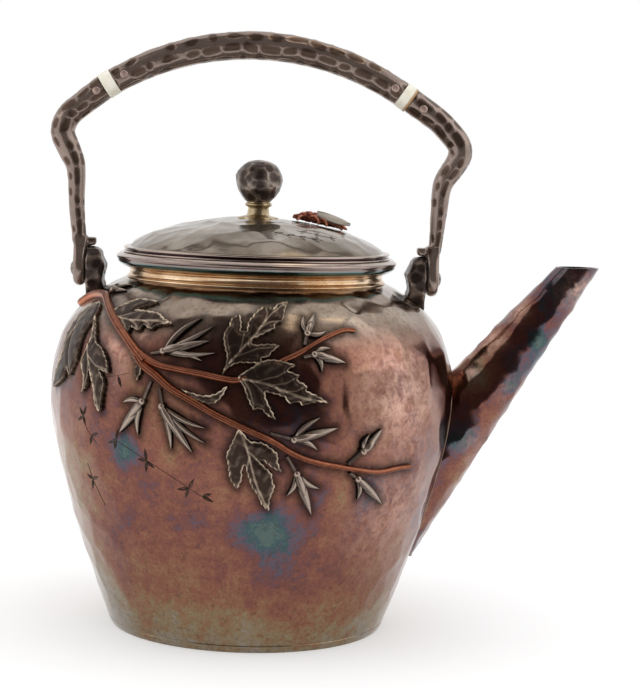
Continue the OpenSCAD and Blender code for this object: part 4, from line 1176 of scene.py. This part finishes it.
# Buds. Each stands on a short twig with a round bead where its petals spring: a full bud in the middle on a
# long petal, and narrow curved petals beside it, all chased from silver with dark gaps between.
buds = {
    "bud_shoulder": ((-66, 10.6), (-63.5, 9.8), (-55.5, 8.4), ((-58, 4.4),), 1.3),
    "bud_upper_left": ((-29, 35.2), (-25.3, 34.1), (-13, 29),
                       ((-17, 19.4), (-12.8, 23), (-10.6, 33.4), (-13.8, 36.6)), 2.1),
    "bud_hanging_left": ((-27.8, 45.2), (-29.7, 52.7), (-37.1, 65), ((-36.1, 53.9), (-31.1, 65)), 2.1),
    "bud_hanging_right": ((-25, 47.4), (-23.9, 53.8), (-15.6, 69.6),
                          ((-21.3, 69.2), (-11.9, 66.1), (-11.8, 60.5)), 2.1),
    "bud_middle": ((4.8, 61.6), (11, 63.7), (22.8, 59.7), ((17.9, 55.7), (17.6, 67.7)), 2.1),
    "bud_low": ((9.5, 70), (12.4, 76.4), (17.7, 92.8), ((10.3, 85), (19.2, 82.5)), 2.1),
    "bud_top_right": ((14.2, 29.4), (15.3, 25.1), (19, 15.6), ((15.5, 16.6), (21.4, 23.8)), 1.9),
    "bud_upper_right": ((13.6, 34), (16.6, 33.2), (25.6, 36.2), ((21.6, 30.8), (18.4, 39.3)), 1.9),
    "bud_tip_upper": ((27, 73.4), (31, 68.8), (36.6, 61), ((32.6, 62.6),), 1.9),
    "bud_tip_lower": ((27.9, 76.9), (30.5, 79.3), (41, 90.6), ((31.7, 87.7),), 1.9),
}


def petal(name, a, b, width, height, curl):
    """One almond-shaped petal from a to b, rounded, with one fold beside its middle."""
    piece = thick_grid(name, 24, 14)
    heading = heading_from(a, b)
    reach = math.hypot(a[1] - b[1], math.radians(b[0] - a[0]) * np.interp((a[1] + b[1]) / 2, drops, drop_r))

    def place_of(x, y, is_top):
        full = math.sin(math.pi * min(1, 0.1 + 0.9 * x ** 0.8)) ** 0.8 if x < 1 else 0.02
        u = max(-1, min(1, y))
        bow = curl * math.sin(math.pi * x)
        at = beside(a, x * reach, u * width * max(full, 0.05) + bow, heading)
        fold = math.exp(-((u + 0.3) / 0.16) ** 2) * min(1, 1.6 * (1 - x))
        high = 0.4 + height * (0.3 + 0.7 * full) * math.sqrt(max(0, 1 - 0.92 * u * u)) - 0.3 * fold
        share = 0.35 + 0.75 * math.exp(-((u - 0.15) / 0.5) ** 2)
        share *= min(1, (1 - abs(u)) * 5) * (1 - 0.65 * fold)
        return on_wall(at[0], at[1], high if is_top else -0.35), min(1, share) if is_top else 0

    lay(piece, place_of)
    return piece


def joined(name, pieces):
    """Pieces made one, under a name and without a material."""
    bpy.ops.object.select_all(action='DESELECT')
    for piece in pieces:
        piece.select_set(True)
    bpy.context.view_layer.objects.active = pieces[0]
    bpy.ops.object.join()
    whole = named(name)
    whole.data.materials.clear()
    return whole


bud_silver = relief_metal("chased bud silver", '#a8978a', '#221b18', 0.28, 2, 0.92)
for node, (foot, knop, middle_tip, tips, width) in buds.items():
    parts_made = [stem_strip("twig", (foot, tuple((f + k) / 2 for f, k in zip(foot, knop)), knop), 0.55, 0.6)]
    for tip_place in tips:
        start = tuple(k + 0.04 * (t - k) for k, t in zip(knop, tip_place))
        curl = 1.0 if tip_place[0] < middle_tip[0] else -1.0
        parts_made.append(petal("petal", start, tip_place, 0.55 * width, 1.3, curl))
    parts_made.append(petal("petal", knop, middle_tip, 0.85 * width, 1.5, 0))
    swell = tuple(k + 0.58 * (t - k) for k, t in zip(knop, middle_tip))
    parts_made.append(petal("petal", knop, swell, 0.8 * width, 2.7, 0))
    bpy.ops.object.select_all(action='DESELECT')
    bpy.ops.mesh.primitive_uv_sphere_add(segments=20, ring_count=12, radius=1.3 * MM,
                                         location=on_wall(knop[0], knop[1], 1.2))
    bead = bpy.context.object
    bpy.ops.object.transform_apply(location=True, rotation=True, scale=True)
    bpy.ops.object.shade_smooth()
    keep_shares(bead, "raised", [0.9] * len(bead.data.vertices))
    bud = joined("chased_" + node, parts_made + [bead])
    bud.data.materials.append(bud_silver)
    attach(bud, "kettle")
    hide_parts(node)
    vine_pieces.append(bud)

# The ground round the applied pieces is matted with a punch and stays dark: the body keeps how near it is.
near = KDTree(sum(len(p.data.vertices) for p in vine_pieces))
for index, v in enumerate(v for piece in vine_pieces for v in piece.data.vertices):
    near.insert(v.co, index)
near.balance()
matted_width = 2.3
matted_dark = 0.84
keep_shares(body, "border", [
    matted_dark * math.exp(-(near.find(v.co)[2] / MM / matted_width) ** 2)
    if v.co.z > 0.03 and v.co.y < 0.02 else 0 for v in body.data.vertices])


# Insect. A small ornament of copper and silver, cast and chased, lies on the lid by the knob: a head, a
# full ridged body, folded legs close beside it and two folded wings of grey silver.
insect_r = 24.0
dome_fall = math.radians(10.7)
insect_turn = Matrix.Translation(Vector((insect_r, 0, on_dome(insect_r, 0))) * MM) \
    @ Matrix.Rotation(dome_fall, 4, 'Y')
insect_sides = (
    (-10.6, 0.25), (-10.0, 0.9), (-9.0, 1.2), (-8.3, 1.05), (-7.6, 1.5), (-6.2, 2.0), (-4.4, 2.2),
    (-2.4, 2.25), (-0.8, 1.95), (0.2, 1.65), (1.4, 1.8), (3.6, 1.8), (6.0, 1.6), (8.4, 1.2), (10.4, 0.75),
    (11.6, 0.2))
insect_line = []
insect_swells = []
for i in range(111):
    x = -10.6 + 22.2 * i / 110
    r = float(np.interp(x, [q[0] for q in insect_sides], [q[1] for q in insect_sides]))
    ring = 3.1 if x < 0 else 1.75
    insect_line.append((x, 0, 0.45 + 0.92 * r))
    insect_swells.append(r * (1 - 0.16 * max(0, math.cos(2 * math.pi * x / ring)) ** 6))
wire("cast_insect_body", [insect_line], 1, 6, insect_swells)
insect = named("cast_insect_body")
insect.data.transform(insect_turn)
insect.data.materials.append(plain_metal("cast copper", '#b9735a', 0.34, 1.4, dark='#54291d', clean=0.85))
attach(insect, "lid")
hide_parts("insect_body")
leg_lines = []
for way in (-1, 1):
    for leg in (((-6.4, 1.1, 1.9), (-7.4, 2.6, 2.3), (-8.3, 4.0, 1.1), (-8.8, 4.6, 0.4)),
                ((-4.0, 1.6, 2.3), (-2.4, 3.2, 3.3), (-0.9, 4.2, 2.4), (-0.2, 5.2, 0.5)),
                ((-1.2, 1.5, 2.0), (1.2, 2.9, 2.8), (2.5, 3.8, 2.0), (3.1, 4.8, 0.5)),
                ((0.6, 1.4, 1.5), (3.8, 2.7, 1.9), (7.2, 3.1, 1.3), (9.6, 3.6, 0.4))):
        leg_lines.append([(x, way * y, z) for x, y, z in leg])
legs = wire("cast_insect_legs", leg_lines, 0.5, 3)
legs.data.transform(insect_turn)
legs.data.materials.append(plain_metal("copper wire", '#c07a5f', 0.36, 2, 0.5, clean=0.85))
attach(legs, "lid")
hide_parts("insect_legs")
wing_pair = []
for way in (-1, 1):
    def wing_place(x, y, is_top):
        full = math.sin(math.pi * min(1, 0.12 + 0.88 * x)) ** 0.6 if x < 1 else 0.05
        veins = abs(math.sin((y * 1.6 + x * 0.7) * math.pi * 1.5)) ** 6
        rim_here = math.exp(-((abs(y) - 0.93) / 0.1) ** 2)
        top_z = 4.6 - 1.7 * x + (1 - y * y) * 0.5 + 0.1 * veins + 0.12 * rim_here
        top_z -= 1.3 * way * y * max(full, 0.1)
        wing_y = way * (0.6 + 3.0 * x) + y * 1.9 * max(full, 0.08)
        spot = Vector((-1.6 + 13.8 * x, wing_y, top_z if is_top else top_z - 0.4)) * MM
        return spot, min(1, 0.5 + 0.3 * veins + 0.5 * rim_here) if is_top else 0

    wing = thick_grid("wing", 30, 12)
    lay(wing, wing_place)
    wing_pair.append(wing)
wings = joined("cast_insect_wings", wing_pair)
wings.data.transform(insect_turn)
wings.data.materials.append(relief_metal("chased wing silver", '#c2bab0', '#5f564d', 0.34, 2, 0.7))
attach(wings, "lid")
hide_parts("insect_wings")


# Cut sprigs. Fine twigs with small leaves are cut into the body left of the vine and into the lid with a
# graver; the cuts are 0.2 mm wide or less and have gone dark. They are drawn as wires that just show.
cut_dark = plain_metal("dark cut line", '#4d423a', 0.4, 2, 0.4)
body_cut_r, lid_cut_r = 0.1, 0.07


def skin_of(piece):
    mesh = piece.data
    return BVHTree.FromPolygons([v.co for v in mesh.vertices], [f.vertices for f in mesh.polygons])


def just_above(skin, place):
    """The spot in mm on the hammered surface nearest to a place, and a little above it."""
    spot, normal, index, away = skin.find_nearest(place)
    return spot / MM + normal * 0.03


body_skin = skin_of(body)
lid_skin = skin_of(lid_dome)


def cut_line(points):
    """A graver's cut through places on the body."""
    return [just_above(body_skin, on_wall(a, d, 0)) for a, d in blended(points, 5)]


def leaflet(foot, heading, reach, half):
    """Side by side cuts that fill one narrow leaf."""
    tip_place = beside(foot, reach, 0, heading)
    for bow in (half, half * 0.55, 0.1, -half * 0.45, -half):
        cut_lines.append(cut_line((foot, beside(foot, reach * 0.3, bow * 0.85, heading),
                                   beside(foot, reach * 0.6, bow * 0.8, heading), tip_place)))


# each sprig: its stalk's places, then where its leaflets spring and their headings in degrees
sprigs = (
    (((-35, 43), (-41, 45), (-47, 46)), (((-45.5, 45.8), (80, 160, 285, 320)), ((-39, 44.6), (-60,)))),
    (((-53, 60), (-51, 66), (-47, 71)), (((-52.4, 61.5), (60, 130, 210, 290)), ((-49, 68.5), (20, 250)))),
    (((-40, 68), (-34, 71.5), (-27, 76), (-20, 81.5), (-13, 87)), (
        ((-39, 68.5), (75, 250, 200)), ((-29, 74.8), (100, 175, 260, 320)), ((-17, 84), (60, 250, 190)),
        ((-13.2, 86.8), (-25, 20)))),
    (((-53, 80), (-51, 88), (-48, 96)), (((-51.6, 86), (20, 160, 250)),)),
)
cut_lines = []
for stalk, clusters in sprigs:
    cut_lines.append(cut_line(stalk))
    for foot, headings in clusters:
        for number, heading in enumerate(headings):
            leaflet(foot, math.radians(heading), 4.6 - 0.7 * (number % 2), 0.62)
cuts = wire("cut_sprigs_on_the_body", cut_lines, body_cut_r, 1)
cuts.data.materials.append(cut_dark)
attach(cuts, "kettle")


def on_lid(points):
    """A graver's cut through places (x, y) in mm on the dome, which are joined by a smooth line."""
    out = []
    for x, y in blended(points, 5):
        out.append(just_above(lid_skin, Vector((x, y, on_dome(x, y))) * MM))
    return out


lid_lines = []
lid_sprigs = ((((5, -31), (11, -34), (18, -34), (25, -32)), 0.5), (((15, -26), (22, -27), (30, -25)), 1.0))
for stalk, leaf_from in lid_sprigs:
    lid_lines.append(on_lid(stalk))
    path = blended(stalk, 3)
    for k in range(1, len(path) - 1, 2):
        way = Vector(path[k + 1]) - Vector(path[k - 1])
        for turn in (leaf_from, -leaf_from - 0.3):
            ahead_of = Vector((way.x * math.cos(turn) - way.y * math.sin(turn),
                               way.x * math.sin(turn) + way.y * math.cos(turn))).normalized()
            aside = Vector((-ahead_of.y, ahead_of.x))
            foot = Vector(path[k])
            for bow in (0.5, -0.5):
                lid_lines.append(on_lid((tuple(foot), tuple(foot + ahead_of * 1.7 + aside * bow),
                                         tuple(foot + ahead_of * 3.4))))
lid_cuts = wire("cut_sprigs_on_the_lid", lid_lines, lid_cut_r, 1)
lid_cuts.data.materials.append(cut_dark)
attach(lid_cuts, "lid")
